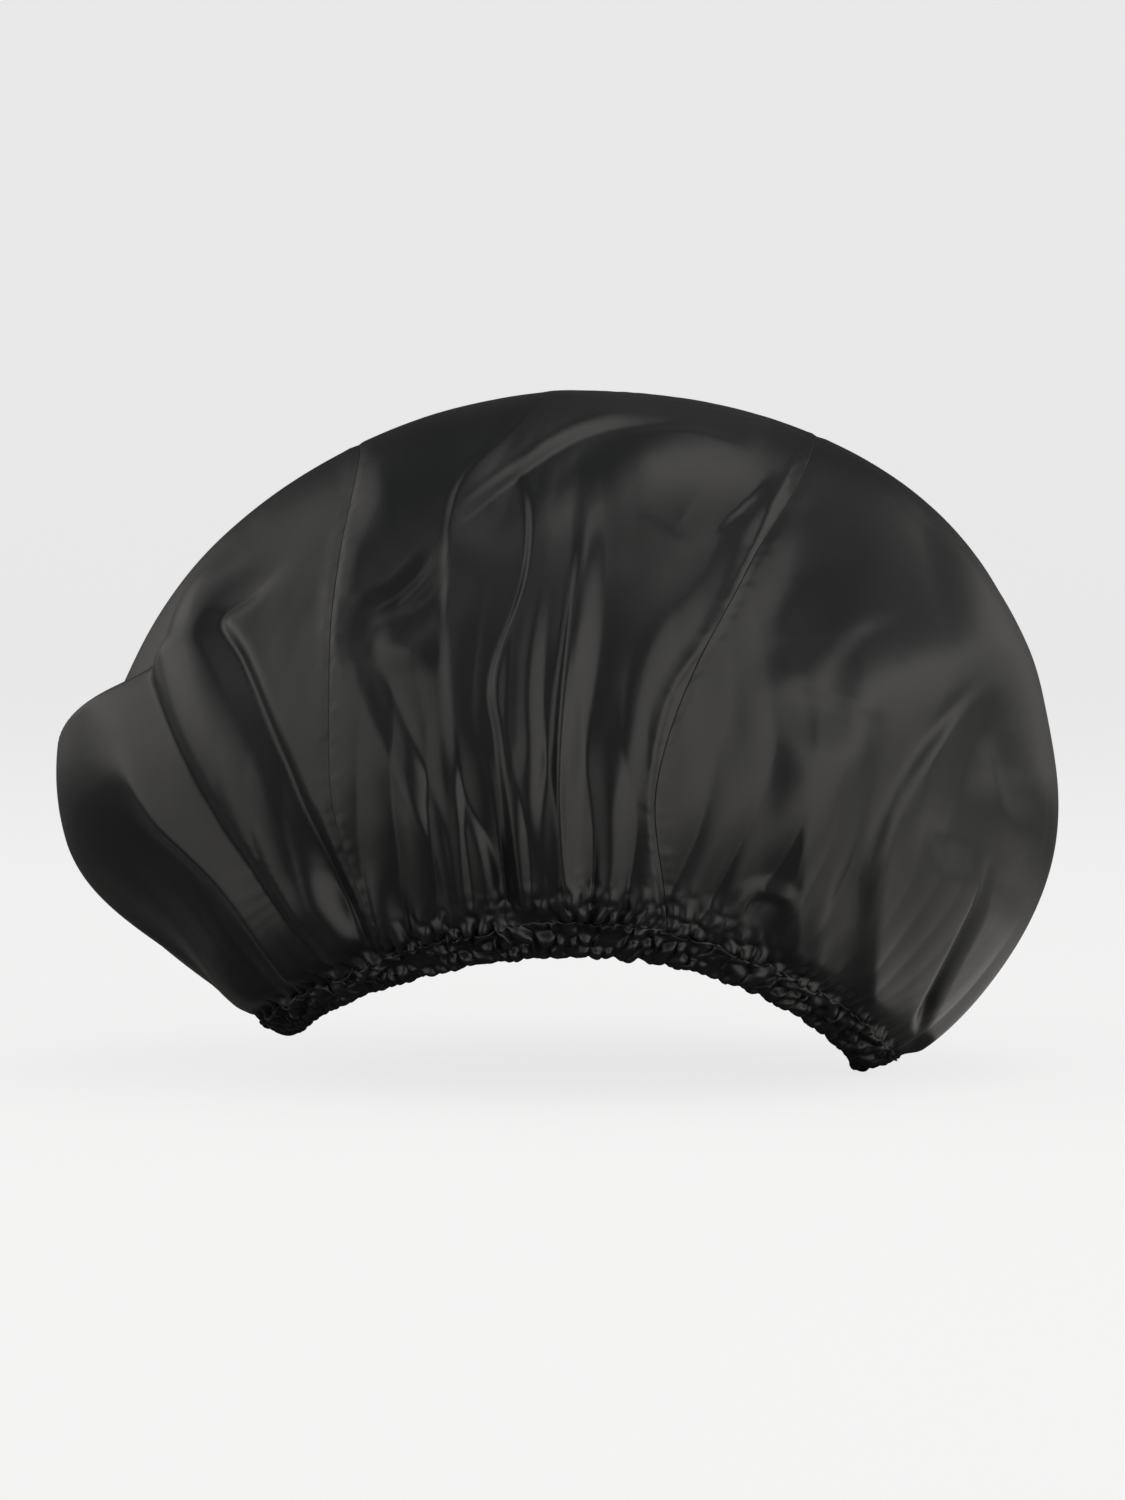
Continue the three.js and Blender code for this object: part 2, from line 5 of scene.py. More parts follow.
import bpy
import numpy as np
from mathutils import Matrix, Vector


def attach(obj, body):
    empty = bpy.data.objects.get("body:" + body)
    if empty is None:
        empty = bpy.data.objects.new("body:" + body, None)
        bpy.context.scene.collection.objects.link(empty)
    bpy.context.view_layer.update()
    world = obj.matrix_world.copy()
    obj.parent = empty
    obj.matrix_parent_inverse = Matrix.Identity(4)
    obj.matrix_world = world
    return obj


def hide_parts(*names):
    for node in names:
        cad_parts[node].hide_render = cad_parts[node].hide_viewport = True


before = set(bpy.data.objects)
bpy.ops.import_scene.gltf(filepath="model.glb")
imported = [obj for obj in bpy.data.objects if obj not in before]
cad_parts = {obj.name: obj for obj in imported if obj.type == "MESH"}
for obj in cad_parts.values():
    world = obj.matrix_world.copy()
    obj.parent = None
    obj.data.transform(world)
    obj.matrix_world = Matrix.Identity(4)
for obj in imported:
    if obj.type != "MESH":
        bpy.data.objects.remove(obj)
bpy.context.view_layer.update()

MM = 0.001
BODY = "root"
CLOTH_MAP = "cloth"

# Head opening and puffed crown in millimetres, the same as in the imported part
Side = namedtuple("Side", "opening hem reach reach_height fullness underside")
LEFT = Side(88, 1, 153, 82, 1.82, 1.55)
RIGHT = Side(88, -11, 155, 70, 2.15, 1.55)
FRONT = Side(92, 32, 110, 88, 2.2, 1.25)
BACK = Side(92, 28, 142, 90, 2.1, 1.55)
CROWN_HEIGHT = 206
UNDERSIDE_SHARE = 0.36
ARCH_SHARPNESS = 1.5

# Cloth, thread and elastic
CLOTH_THICKNESS = 0.6
SEWN_THICKNESS = 0.45
THREAD_DIAMETER = 0.4
CLEARANCE = 0.3
ELASTIC_WIDTH = 8
ELASTIC_THICKNESS = 1.2
ELASTIC_LAP_LENGTH = 24
ELASTIC_RAMP_LENGTH = 36
SEAM_ALLOWANCE = 6
OVERLOCK_HEIGHT = 3
OVERLOCK_WALL = 0.6
CASING_FOLD_HEIGHT = 1.6
STITCH_MARGIN = 2.4

# Sizes that follow from those above
SEAM_GAP = THREAD_DIAMETER + 2 * CLEARANCE
TUNNEL_WIDTH = ELASTIC_THICKNESS + 2 * CLEARANCE
LAP_EXTRA_WIDTH = ELASTIC_THICKNESS + THREAD_DIAMETER + 2 * CLEARANCE
MOUTH_WIDTH = THREAD_DIAMETER + 2 * CLEARANCE
ELASTIC_BOTTOM = CASING_FOLD_HEIGHT + CLEARANCE
ELASTIC_TOP = ELASTIC_BOTTOM + ELASTIC_WIDTH
TUNNEL_TOP = ELASTIC_TOP + CLEARANCE
CASING_HEIGHT = TUNNEL_TOP + STITCH_MARGIN
PANEL_START = CASING_HEIGHT + 2 * CLEARANCE
LAP_BEARING = np.pi / 2
LAP_ANGLE = ELASTIC_LAP_LENGTH / LEFT.opening
RAMP_ANGLE = ELASTIC_RAMP_LENGTH / LEFT.opening
RAMP_END_ANGLE = RAMP_ANGLE / 6
LAP_START = LAP_BEARING - LAP_ANGLE / 2

# Seams in millimetres: how far the stitches draw the cloth in, and the puckers beside them
SEAM_DIP = 0.3
SEAM_DIP_WIDTH = 1.4
VISIBLE_GAP = 0.06
PUCKER_DEPTH = 0.09
PUCKER_WIDTH = 3.5
PUCKER_LENGTHS = (4.3, 6.9, 11.3)

# Stitches, overlock loops and bar tack; the strands in a seam stop some rows of the mesh short of the hem
STITCH_LENGTH = 3
STITCH_WAVE = 0.25
LOOP_LENGTH = 2.2
LOOP_HEIGHT = 0.22
BAR_TACK_TURNS = 7
BAR_TACK_MARGIN = 0.15
SEAM_END_ROWS = 6

# Seams on the flattened disc of cloth, from the front hem over the crown to the back hem
SEAM_POINTS = {
    "left": [(-0.515, -0.857), (-0.345, -0.58), (-0.25, -0.26), (-0.235, 0), (-0.26, 0.38), (-0.34, 0.94)],
    "right": [
        (0.233, -0.972), (0.125, -0.8), (0.19, -0.47), (0.23, -0.25),
        (0.24, 0.05), (0.26, 0.4), (0.36, 0.933),
    ],
}

# Camera: the photograph's frame in pixels, and millimetres to a pixel at the middle of the bonnet
FRAME_WIDTH, FRAME_HEIGHT = 1125, 1500
PIXEL = 0.32
CAMERA_DISTANCE = 2000
CAMERA_RISE = np.radians(3)
CAMERA_TARGET = np.array([-4.96, 0, 91.2])
SENSOR = 36

# Folds seen from the front. Points are pixels of the photograph, followed downwards. Height is in
# millimetres, negative for a hollow. Left and right are half the widths of its two flanks in pixels, and
# roundness shapes the flanks, from a sharp edge to a soft swell.
SHARP, ROUND, SOFT = 1.1, 1.5, 2
Fold = namedtuple("Fold", "name height left right roundness points")
FOLDS = [
    Fold("outer left valley", -5.5, 30, 12, SHARP, [
        (240, 530), (185, 580), (155, 650), (165, 725), (210, 820), (265, 890), (350, 985),
    ]),
    Fold("inner left ridge", 4, 35, 20, SOFT, [
        (250, 520), (210, 575), (195, 640), (210, 720), (250, 820), (315, 930), (360, 980),
    ]),
    Fold("left lapped valley", -3, 12, 8, SHARP, [
        (295, 550), (255, 585), (220, 620), (240, 665), (275, 750), (325, 860), (390, 975),
    ]),
    Fold("facet hollow", -1, 20, 60, SOFT, [(340, 470), (290, 550), (270, 630), (285, 695), (325, 805)]),
    Fold("left lobe", 4, 45, 12, SOFT, [(310, 845), (300, 880), (345, 935), (385, 960)]),
    Fold("wing ridge", 5, 10, 18, SHARP, [(125, 740), (170, 825), (255, 915), (330, 1010)]),
    Fold("wing hollow", -1, 60, 55, SOFT, [(100, 805), (165, 870), (245, 925)]),
    Fold("low left hollow", -1, 12, 8, ROUND, [(130, 810), (200, 895), (285, 980)]),
    Fold("wing lens", 4, 35, 12, ROUND, [(195, 945), (240, 985), (325, 1020)]),
    Fold("lobe by the left seam", 4, 18, 12, ROUND, [(365, 855), (380, 915), (420, 1010)]),
    Fold("left seam hollow", -1, 20, 50, ROUND, [(375, 640), (390, 830)]),
    Fold("edge below the pinch", 1.5, 22, 25, SHARP, [
        (345, 560), (335, 635), (370, 735), (425, 830), (445, 915), (455, 980),
    ]),
    Fold("line below the pinch", 0.6, 5, 10, ROUND, [
        (345, 600), (365, 700), (415, 800), (450, 885), (460, 985),
    ]),
    Fold("slanting crease", -0.6, 5, 5, SHARP, [(365, 630), (415, 745), (450, 840), (470, 1000)]),
    Fold("swell above the pinch", 2, 20, 22, ROUND, [(415, 490), (375, 520), (355, 590), (355, 660)]),
    Fold("pinch", -1.5, 12, 14, SOFT, [(365, 595), (360, 665)]),
    Fold("pinch hollow", -3, 10, 30, ROUND, [(455, 540), (400, 595), (350, 620)]),
    Fold("pinch line", 1.2, 6, 7, ROUND, [(460, 545), (405, 600), (350, 620)]),
    Fold("swell below the pinch", 2, 40, 16, ROUND, [(445, 660), (365, 635)]),
    Fold("upper left swell", 2.5, 60, 60, SOFT, [(520, 445), (440, 485), (350, 520)]),
    Fold("shoulder ridge", 0.7, 30, 40, ROUND, [(450, 440), (370, 495), (325, 610)]),
    Fold("lapped rim", 1, 5, 25, SHARP, [
        (645, 325), (555, 390), (510, 435), (465, 490), (450, 560), (450, 680), (460, 810), (470, 960),
    ]),
    Fold("hollow under the rim", -2, 6, 30, SHARP, [(715, 410), (595, 430), (520, 475), (450, 540)]),
    Fold("second rim", 0.6, 8, 14, ROUND, [(720, 405), (600, 425), (500, 490), (460, 540)]),
    Fold("left centre ridge", 2.5, 5, 28, SOFT, [
        (520, 450), (535, 510), (530, 580), (500, 675), (505, 740), (520, 850), (540, 980),
    ]),
    Fold("dark strip", -1, 18, 8, SOFT, [(540, 505), (515, 660), (515, 785)]),
    Fold("crease under the rim", -2, 8, 20, SHARP, [(445, 715), (465, 790), (495, 860), (510, 970)]),
    Fold("short centre ridge", 1, 10, 8, SOFT, [(545, 705), (525, 800), (525, 880), (535, 995)]),
    Fold("centre ridge", 3, 8, 12, ROUND, [(590, 485), (580, 610), (565, 735), (560, 850), (590, 1000)]),
    Fold("rib on the centre ridge", 1.2, 3, 3, SHARP, [(580, 545), (560, 735), (565, 905)]),
    Fold("valley beside the centre ridge", -0.8, 25, 15, SOFT, [(610, 605), (590, 785), (590, 905)]),
    Fold("hooked rim", 2, 24, 52, ROUND, [
        (670, 485), (705, 495), (720, 530), (705, 580), (655, 645), (635, 740), (610, 830), (610, 950),
    ]),
    Fold("arch over the hook", 3.2, 40, 35, SOFT, [
        (610, 560), (625, 505), (665, 470), (720, 460), (770, 480), (790, 520),
    ]),
    Fold("crown hollow", -2.5, 12, 45, SOFT, [(595, 415), (690, 415), (765, 445)]),
    Fold("slope to the right seam", -2, 40, 60, SOFT, [
        (795, 505), (720, 650), (680, 770), (685, 875), (705, 945),
    ]),
    Fold("right seam allowance", 0.8, 8, 3, SHARP, [
        (810, 425), (765, 520), (720, 620), (670, 695), (650, 790), (655, 895), (660, 960),
    ]),
    Fold("small lobe", 1.6, 5, 8, ROUND, [(735, 970), (740, 910), (760, 890), (785, 900), (770, 950)]),
    Fold("right panel hollow", -3.3, 60, 60, SOFT, [(775, 585), (980, 540)]),
    Fold("right shoulder hollow", -2, 25, 40, ROUND, [(820, 480), (795, 580), (780, 630), (790, 690)]),
    Fold("finger ridge", 0.6, 35, 12, SOFT, [(925, 590), (850, 620), (800, 690)]),
    Fold("lower edge of the hollow", -1, 22, 10, SOFT, [(755, 640), (800, 700), (890, 735)]),
    Fold("right panel ridge", 3.5, 20, 20, SHARP, [(825, 690), (805, 805), (785, 1010)]),
    Fold("right panel crest", 2.5, 16, 20, ROUND, [(870, 630), (850, 740), (825, 880), (805, 1030)]),
    Fold("right valley", -2.5, 35, 8, ROUND, [(995, 660), (900, 780), (860, 875), (845, 930)]),
    Fold("far right hollow", -5, 30, 40, ROUND, [(1020, 645), (980, 780), (950, 885)]),
    Fold("lower right ridge", 2.5, 25, 20, SHARP, [(910, 775), (885, 850), (875, 930), (865, 1050)]),
    Fold("slit crease", -3.5, 5, 4, SHARP, [(1010, 850), (955, 960), (910, 1045)]),
    Fold("outer right hollow", -2.5, 55, 50, SOFT, [(1000, 680), (1025, 810), (980, 920)]),
    Fold("right edge crease", -1.2, 8, 12, SOFT, [(1020, 725), (1035, 840)]),
]

# How folds die out towards their ends, and how finely their paths are followed, in pixels
FOLD_START_FADE = 100
FOLD_END_FADE = 50
FOLD_FADE_SHARE = 0.45
FOLD_SOFTNESS = 1.5
FOLD_STEP = 6

# Depths in millimetres between which the front folds die out and the back's pleats begin. The changeover
# wavers with the height, and all folds fade out just above the hem.
FRONT_FOLD_FULL = -30
FRONT_FOLD_END = 10
BACK_PLEAT_START = 2
BACK_PLEAT_FULL = 34
FOLD_END_WAVER = 9
FOLD_END_WAVER_HEIGHT = 22
FOLD_FADE = 10

# Loose wing of cloth low on the left: how far it stands out, the heights where it starts, is full and ends,
# how narrow it is, and how its top edge slants and softens towards the back
WING_REACH = 15
WING_TOP = 105
WING_FULL_TOP = 91
WING_FULL_BOTTOM = 66
WING_BOTTOM = 18
WING_NARROWNESS = 12
WING_SLANT = 60
WING_SOFTENING = 70

# Pleats round the sides and back, each with a wide and a steep flank
PLEAT_COUNT = 26
PLEAT_DEPTH = 6
PLEAT_HALF_ANGLE = np.radians(4.5)
PLEAT_FLANKS = (1.35, 0.65)
PLEAT_ROUNDNESS = 1.6
PLEAT_SHIFT = 0.25
PLEAT_VARIATION = 0.25
PLEAT_WANDER = np.radians(5)
SIDE_FOLD_DEPTH = 2

# Gathers and ruching at the hem in millimetres: their depths, and the heights over which they die out.
# Start and full are multiples of the panels' starting height. Back and side shares are of the front's.
CRUMPLE_DEPTH = 2.3
CRUMPLE_RISE = 10
CRUMPLE_SOFTNESS = 0.25
PUFF_LIMIT = 1.7
MEDIUM_GATHER_DEPTH = 3.6
MEDIUM_GATHER_RISE = 30
GATHER_START = 0.4
GATHER_FULL = 2
GATHER_NARROWNESS = 4
BACK_GATHER_SHARE = 0.4
SIDE_GATHER_SHARE = 0.04
SIDE_CRUMPLE_SHARE = 0.3
HEM_ROLL = 7
HEM_EDGE_WAVE = 0.35
CASING_LAP = 1.2
CASING_LAP_STEP = 0.5
INNER_RUCHE_DEPTH = 1.1
RUCHE_SLIDE = 0.8
LINING_DROP_SHARE = 0.6

# Mesh fineness: counts, and the shares that set where rows and columns crowd together
FRONT_ROWS = 190
BACK_ROWS = 100
SIDE_COLUMNS = 166
CENTRE_COLUMNS = 162
FLANGE_COLUMNS = 4
HEM_STEPS = 1280
THREAD_SIDES = 6
POLE_ANGLE = np.radians(4)
HEM_CLOSENESS = 3
HEM_ROW_SHARE = 0.5
SEAM_EDGE_SHARE = 0.0015
PROBE = 0.004
WALL_STEPS = 21
INNER_WALL_STEPS = 8
BEND_STEPS = 5
OUTLINE_STEPS = 700
PATH_STEPS = 100

# Rounding of the belly: how many levels it takes in, and the shares of the way up where it sets in and ends
ROUNDING_LEVELS = 121
ROUNDING_START = (0.06, 0.18)
ROUNDING_END = (0.5, 0.75)

# Looks: weave sizes in metres and colours
Cloth = namedtuple("Cloth", "name color roughness weave_pitch weave_depth dark light")
SATIN = Cloth(
    "black satin", (0.007, 0.0075, 0.008), 0.35, 0.0004, 0.000008,
    dark=(0.0062, 0.0066, 0.007), light=(0.0078, 0.0084, 0.009),
)
THREAD = Cloth(
    "black thread", (0.008, 0.008, 0.0085), 0.7, 0.0005, 0.00003,
    dark=(0.007, 0.007, 0.0075), light=(0.009, 0.009, 0.0095),
)
ELASTIC = Cloth(
    "black elastic", (0.012, 0.012, 0.012), 0.85, 0.001, 0.0001,
    dark=(0.01, 0.01, 0.01), light=(0.014, 0.014, 0.014),
)
SATIN_SPECULAR = 0.45
SATIN_ANISOTROPY = 0.6
SATIN_SHEEN = 0.03
SATIN_SHEEN_ROUGHNESS = 0.4
WEAVE_DISTORTION = 2
BUMP_STRENGTH = 0.5
CREASE_SCALE = 160
CREASE_DETAIL = 3
CREASE_DEPTH = 0.00006
DYE_SCALE = 25
DYE_DETAIL = 2

# Stage in metres: a floor that bends up into a backdrop, which only the camera sees glowing
FLOOR_LEVEL = -0.0125
FLOOR_REACH = 3.2
BACKDROP_REACH = 6
BACKDROP_HEIGHT = 5
BACKDROP_BEND = 1
BACKDROP_BEND_STEPS = 13
BACKDROP_GREY = 0.17
BACKDROP_ROUGHNESS = 0.9
BACKDROP_GLOW = 0.78

# Lamps in metres and watts; the bounce cards lie just above the floor and shine straight up
Lamp = namedtuple("Lamp", "name place width height watts")
LAMPS = [
    Lamp("left", (-1.45, -0.68, 0.35), 2.8, 1.4, 14.3),
    Lamp("right", (1.3, -0.92, 0.35), 2.8, 1.4, 19.4),
    Lamp("upper left", (-1.3, 0.5, 1), 1.5, 1.1, 3.2),
    Lamp("back left", (-1.4, 1.15, 0.4), 1.4, 1.4, 2.5),
    Lamp("back right", (1.4, 1, 0.3), 1.4, 1.4, 3.2),
    Lamp("upper right", (1.3, 0.5, 1), 1.5, 1.1, 1),
    Lamp("front", (0.1, -2.4, 0.9), 1.8, 2.2, 0.5),
    Lamp("top", (0.35, 0.05, 1.5), 1.1, 0.7, 3.4),
    Lamp("top front", (0, -0.7, 1.4), 1.4, 0.5, 2),
]
CARD_LEVEL = FLOOR_LEVEL + 0.004
CARDS = [
    Lamp("left bounce card", (-0.43, -0.31, CARD_LEVEL), 0.5, 0.36, 0.5),
    Lamp("front bounce card", (0.32, -0.43, CARD_LEVEL), 0.56, 0.4, 1.15),
    Lamp("right bounce card", (0.34, -0.06, CARD_LEVEL), 0.44, 0.34, 0.3),
]
MIDDLE = (0, 0, 0.09)
LAMP_COLOR = (1, 0.965, 0.92)
WORLD_COLOR = (0.13, 0.138, 0.146)
CAMERA_CLIP_END = 50

random = np.random.default_rng(5)


# Smooth shape of the cloth


def smoothstep(value, low, high):
    share = np.clip((value - low) / (high - low), 0, 1)
    return share * share * (3 - 2 * share)


def unit(vectors):
    return vectors / np.linalg.norm(vectors, axis=-1, keepdims=True)


def run_along(points):
    """Distances along a line of points from its start."""
    return np.concatenate([[0], np.cumsum(np.linalg.norm(np.diff(points, axis=0), axis=1))])


def side_outline(side, t):
    """Radius and height up one side, for shares t of the way from the hem to the crown."""
    low_turn = np.clip(t / UNDERSIDE_SHARE, 0, 1) * np.pi / 2
    high_turn = np.clip((t - UNDERSIDE_SHARE) / (1 - UNDERSIDE_SHARE), 0, 1) * np.pi / 2
    low_power = 2 / side.underside
    high_power = 2 / side.fullness
    low_radius = side.opening + (side.reach - side.opening) * np.sin(low_turn) ** low_power
    low_height = side.reach_height - (side.reach_height - side.hem) * np.abs(np.cos(low_turn)) ** low_power
    high_radius = side.reach * np.abs(np.cos(high_turn)) ** high_power
    high_height = side.reach_height + (CROWN_HEIGHT - side.reach_height) * np.sin(high_turn) ** high_power
    under = t < UNDERSIDE_SHARE
    return np.where(under, low_radius, high_radius), np.where(under, low_height, high_height)


BEARINGS = np.linspace(-np.pi, np.pi, 1441)
LEVELS = np.linspace(0, 1, 500)


def round_off(lines):
    """Rounds the lines up the cloth where the underside meets the side, and leaves their ends alone."""
    weights = np.hanning(ROUNDING_LEVELS)
    weights /= weights.sum()
    half = ROUNDING_LEVELS // 2
    padded = np.pad(lines, ((0, 0), (half, half), (0, 0)), "edge")
    rounded = sum(weight * padded[:, k : k + len(LEVELS)] for k, weight in enumerate(weights))
    share = smoothstep(LEVELS, *ROUNDING_START) * (1 - smoothstep(LEVELS, *ROUNDING_END))
    return lines + (rounded - lines) * share[:, None]


def meridian_table():
    """Points at even steps of length up the cloth for every bearing, and the length of each such line."""
    t = np.linspace(0, 1, OUTLINE_STEPS)
    points = np.empty((len(BEARINGS), len(LEVELS), 3))
    lengths = np.empty(len(BEARINGS))
    for i, bearing in enumerate(BEARINGS):
        across, along = np.cos(bearing), np.sin(bearing)
        side_radius, side_height = side_outline(RIGHT if across > 0 else LEFT, t)
        end_radius, end_height = side_outline(BACK if along > 0 else FRONT, t)
        arch = abs(along) ** ARCH_SHARPNESS
        height = side_height + (end_height - side_height) * arch
        line = np.stack([side_radius * across, end_radius * along, height], axis=1)
        run = run_along(line)
        lengths[i] = run[-1]
        for axis in range(3):
            points[i, :, axis] = np.interp(LEVELS * run[-1], run, line[:, axis])
    return round_off(points), lengths


MERIDIAN_POINTS, MERIDIAN_LENGTHS = meridian_table()


def meridian_length(bearing):
    return np.interp(np.mod(bearing + np.pi, 2 * np.pi) - np.pi, BEARINGS, MERIDIAN_LENGTHS)


def cloth_point(bearing, distance):
    """The point a distance up the smooth cloth from the hem, at a bearing."""
    turn = np.mod(bearing + np.pi, 2 * np.pi) / (2 * np.pi) * (len(BEARINGS) - 1)
    level = np.clip(distance / meridian_length(bearing), 0, 1) * (len(LEVELS) - 1)
    i = np.minimum(turn.astype(int), len(BEARINGS) - 2)
    j = np.minimum(level.astype(int), len(LEVELS) - 2)
    u = (turn - i)[..., None]
    v = (level - j)[..., None]
    lower = MERIDIAN_POINTS[i, j] * (1 - u) + MERIDIAN_POINTS[i + 1, j] * u
    upper = MERIDIAN_POINTS[i, j + 1] * (1 - u) + MERIDIAN_POINTS[i + 1, j + 1] * u
    return lower * (1 - v) + upper * v


def place_on_cloth(across, along):
    """Bearing and distance up the cloth of a place on the flattened disc."""
    bearing = np.arctan2(along, across)
    length = meridian_length(bearing)
    return bearing, PANEL_START + (length - PANEL_START) * (1 - np.hypot(across, along))


def smooth_surface(across, along):
    return cloth_point(*place_on_cloth(across, along))


def smooth_normal(across, along):
    sideways = smooth_surface(across + PROBE, along) - smooth_surface(across - PROBE, along)
    lengthways = smooth_surface(across, along + PROBE) - smooth_surface(across, along - PROBE)
    return unit(np.cross(sideways, lengthways))


def smooth_path(points, steps):
    """Points along a smooth curve through the given ones, at even shares of each stretch."""
    points = np.array(points, float)
    padded = np.concatenate([points[:1], points, points[-1:]])
    t = np.linspace(0, 1, steps, endpoint=False)[:, None]
    stretches = []
    for p0, p1, p2, p3 in zip(padded, padded[1:], padded[2:], padded[3:]):
        leave, arrive = (p2 - p0) / 2, (p3 - p1) / 2
        stretches.append(
            (2 * p1 - 2 * p2 + leave + arrive) * t**3 + (3 * p2 - 3 * p1 - 2 * leave - arrive) * t**2
            + leave * t + p1
        )
    return np.concatenate([*stretches, points[-1:]])


def even_path(points, shares):
    """Points at shares of the length of a smooth curve."""
    path = smooth_path(points, PATH_STEPS)
    run = run_along(path)
    return np.stack([np.interp(shares * run[-1], run, column) for column in path.T], axis=1)


# Folds


def to_pixels(points):
    """Where points in millimetres show in the photograph's frame."""
    forward = np.array([0, np.cos(CAMERA_RISE), -np.sin(CAMERA_RISE)])
    up = np.array([0, np.sin(CAMERA_RISE), np.cos(CAMERA_RISE)])
    offset = points - CAMERA_TARGET
    scale = CAMERA_DISTANCE / (CAMERA_DISTANCE + offset @ forward) / PIXEL
    return FRAME_WIDTH / 2 + offset[..., 0] * scale, FRAME_HEIGHT / 2 - (offset @ up) * scale


def fold_profile(fold, x, y):
    """Height of one fold at pixels x, y: full along its path, falling off to each flank and at its ends."""
    steps = np.diff(np.array(fold.points), axis=0)
    stretch = np.linalg.norm(steps, axis=1).mean()
    path = smooth_path(fold.points, max(2, round(stretch / FOLD_STEP)))
    run = run_along(path)
    nearest = np.full(x.shape, np.inf)
    signed = np.zeros(x.shape)
    place = np.zeros(x.shape)
    for k, ((x0, y0), (x1, y1)) in enumerate(zip(path, path[1:])):
        dx, dy = x1 - x0, y1 - y0
        share = np.clip(((x - x0) * dx + (y - y0) * dy) / (dx * dx + dy * dy), 0, 1)
        gap = np.hypot(x - x0 - share * dx, y - y0 - share * dy)
        side = dx * (y - y0) - dy * (x - x0)
        closer = gap < nearest
        nearest = np.where(closer, gap, nearest)
        signed = np.where(closer, side, signed)
        place = np.where(closer, run[k] + share * (run[k + 1] - run[k]), place)
    width = np.where(signed > 0, fold.left, fold.right)
    longest = FOLD_FADE_SHARE * run[-1]
    start = smoothstep(place, 0, min(FOLD_START_FADE, longest))
    end = smoothstep(run[-1] - place, 0, min(FOLD_END_FADE, longest))
    share = np.clip((np.hypot(nearest, FOLD_SOFTNESS) - FOLD_SOFTNESS) / (2 * width), 0, 1)
    return fold.height * start * end * (1 - share**fold.roundness) ** 2


def front_folds(x, y):
    height = np.zeros(x.shape)
    for fold in FOLDS:
        reach = 2 * max(fold.left, fold.right) + FOLD_SOFTNESS
        low = np.min(fold.points, axis=0) - reach
        high = np.max(fold.points, axis=0) + reach
        near = (x > low[0]) & (x < high[0]) & (y > low[1]) & (y < high[1])
        height[near] += fold_profile(fold, x[near], y[near])
    return height


def back_pleats(bearing, rise):
    """Height of the pleats, scattered by waves of their number so that no two are alike."""
    height = np.zeros(bearing.shape)
    for k in range(PLEAT_COUNT):
        middle = 2 * np.pi * (k + PLEAT_SHIFT * np.sin(5 * k)) / PLEAT_COUNT
        wander = PLEAT_WANDER * np.sin(2.5 * rise + 4 * k)
        turn = np.angle(np.exp(1j * (bearing - middle - wander)))
        depth = PLEAT_DEPTH * (1 - PLEAT_VARIATION + PLEAT_VARIATION * np.cos(3 * k))
        width = PLEAT_HALF_ANGLE * np.where(turn > 0, *PLEAT_FLANKS)
        height += depth * rise * np.exp(-np.abs(turn / width) ** PLEAT_ROUNDNESS)
    return height


Waves = namedtuple("Waves", "turns phases leans")


def make_waves(count, low, high, lean):
    """Waves round the hem: how many times each goes round, where it starts and how it leans as it rises."""
    turns = random.integers(low, high, count)
    phases = random.uniform(0, 2 * np.pi, count)
    leans = random.normal(0, lean, count)
    return Waves(turns, phases, leans)


CRUMPLE_WAVES = make_waves(24, 40, 115, 0.4)
MEDIUM_WAVES = make_waves(12, 26, 52, 0.05)
INNER_WAVES = make_waves(12, 60, 110, 0.2)
SLIDE_WAVES = make_waves(16, 40, 110, 0.35)
EDGE_WAVES = make_waves(10, 30, 90, 0)
SIDE_WAVES = make_waves(6, 9, 26, 0.008)


def wave_sum(waves, bearing, up):
    total = np.zeros(np.broadcast(bearing, up).shape)
    for turns, phase, lean in zip(*waves):
        total += np.cos(turns * bearing + phase + lean * up)
    return total / np.sqrt(len(waves.turns) / 2)


def puffs(wave):
    """Rounded puffs of limited height with creases between them."""
    return PUFF_LIMIT * np.tanh((np.hypot(wave, CRUMPLE_SOFTNESS) - CRUMPLE_SOFTNESS) / PUFF_LIMIT)


def gathers(bearing, up):
    """Height of the small gathers at the hem, a distance up the cloth."""
    above = np.maximum(0, up - PANEL_START)
    facing = np.sin(bearing) ** GATHER_NARROWNESS * np.where(np.sin(bearing) > 0, BACK_GATHER_SHARE, 1)
    crumple_rise = CRUMPLE_RISE * (SIDE_CRUMPLE_SHARE + (1 - SIDE_CRUMPLE_SHARE) * facing)
    crumple_depth = CRUMPLE_DEPTH * np.exp(-((above / crumple_rise) ** 2))
    crumple_depth = crumple_depth * smoothstep(up, -HEM_ROLL / 2, HEM_ROLL)
    crumples = crumple_depth * puffs(wave_sum(CRUMPLE_WAVES, bearing, up))
    swell = smoothstep(up, GATHER_START * PANEL_START, GATHER_FULL * PANEL_START)
    swell = swell * np.exp(-above / MEDIUM_GATHER_RISE)
    swell = swell * (SIDE_GATHER_SHARE + (1 - SIDE_GATHER_SHARE) * facing)
    medium = np.abs(wave_sum(MEDIUM_WAVES, bearing, up)) * MEDIUM_GATHER_DEPTH * swell
    return crumples + medium


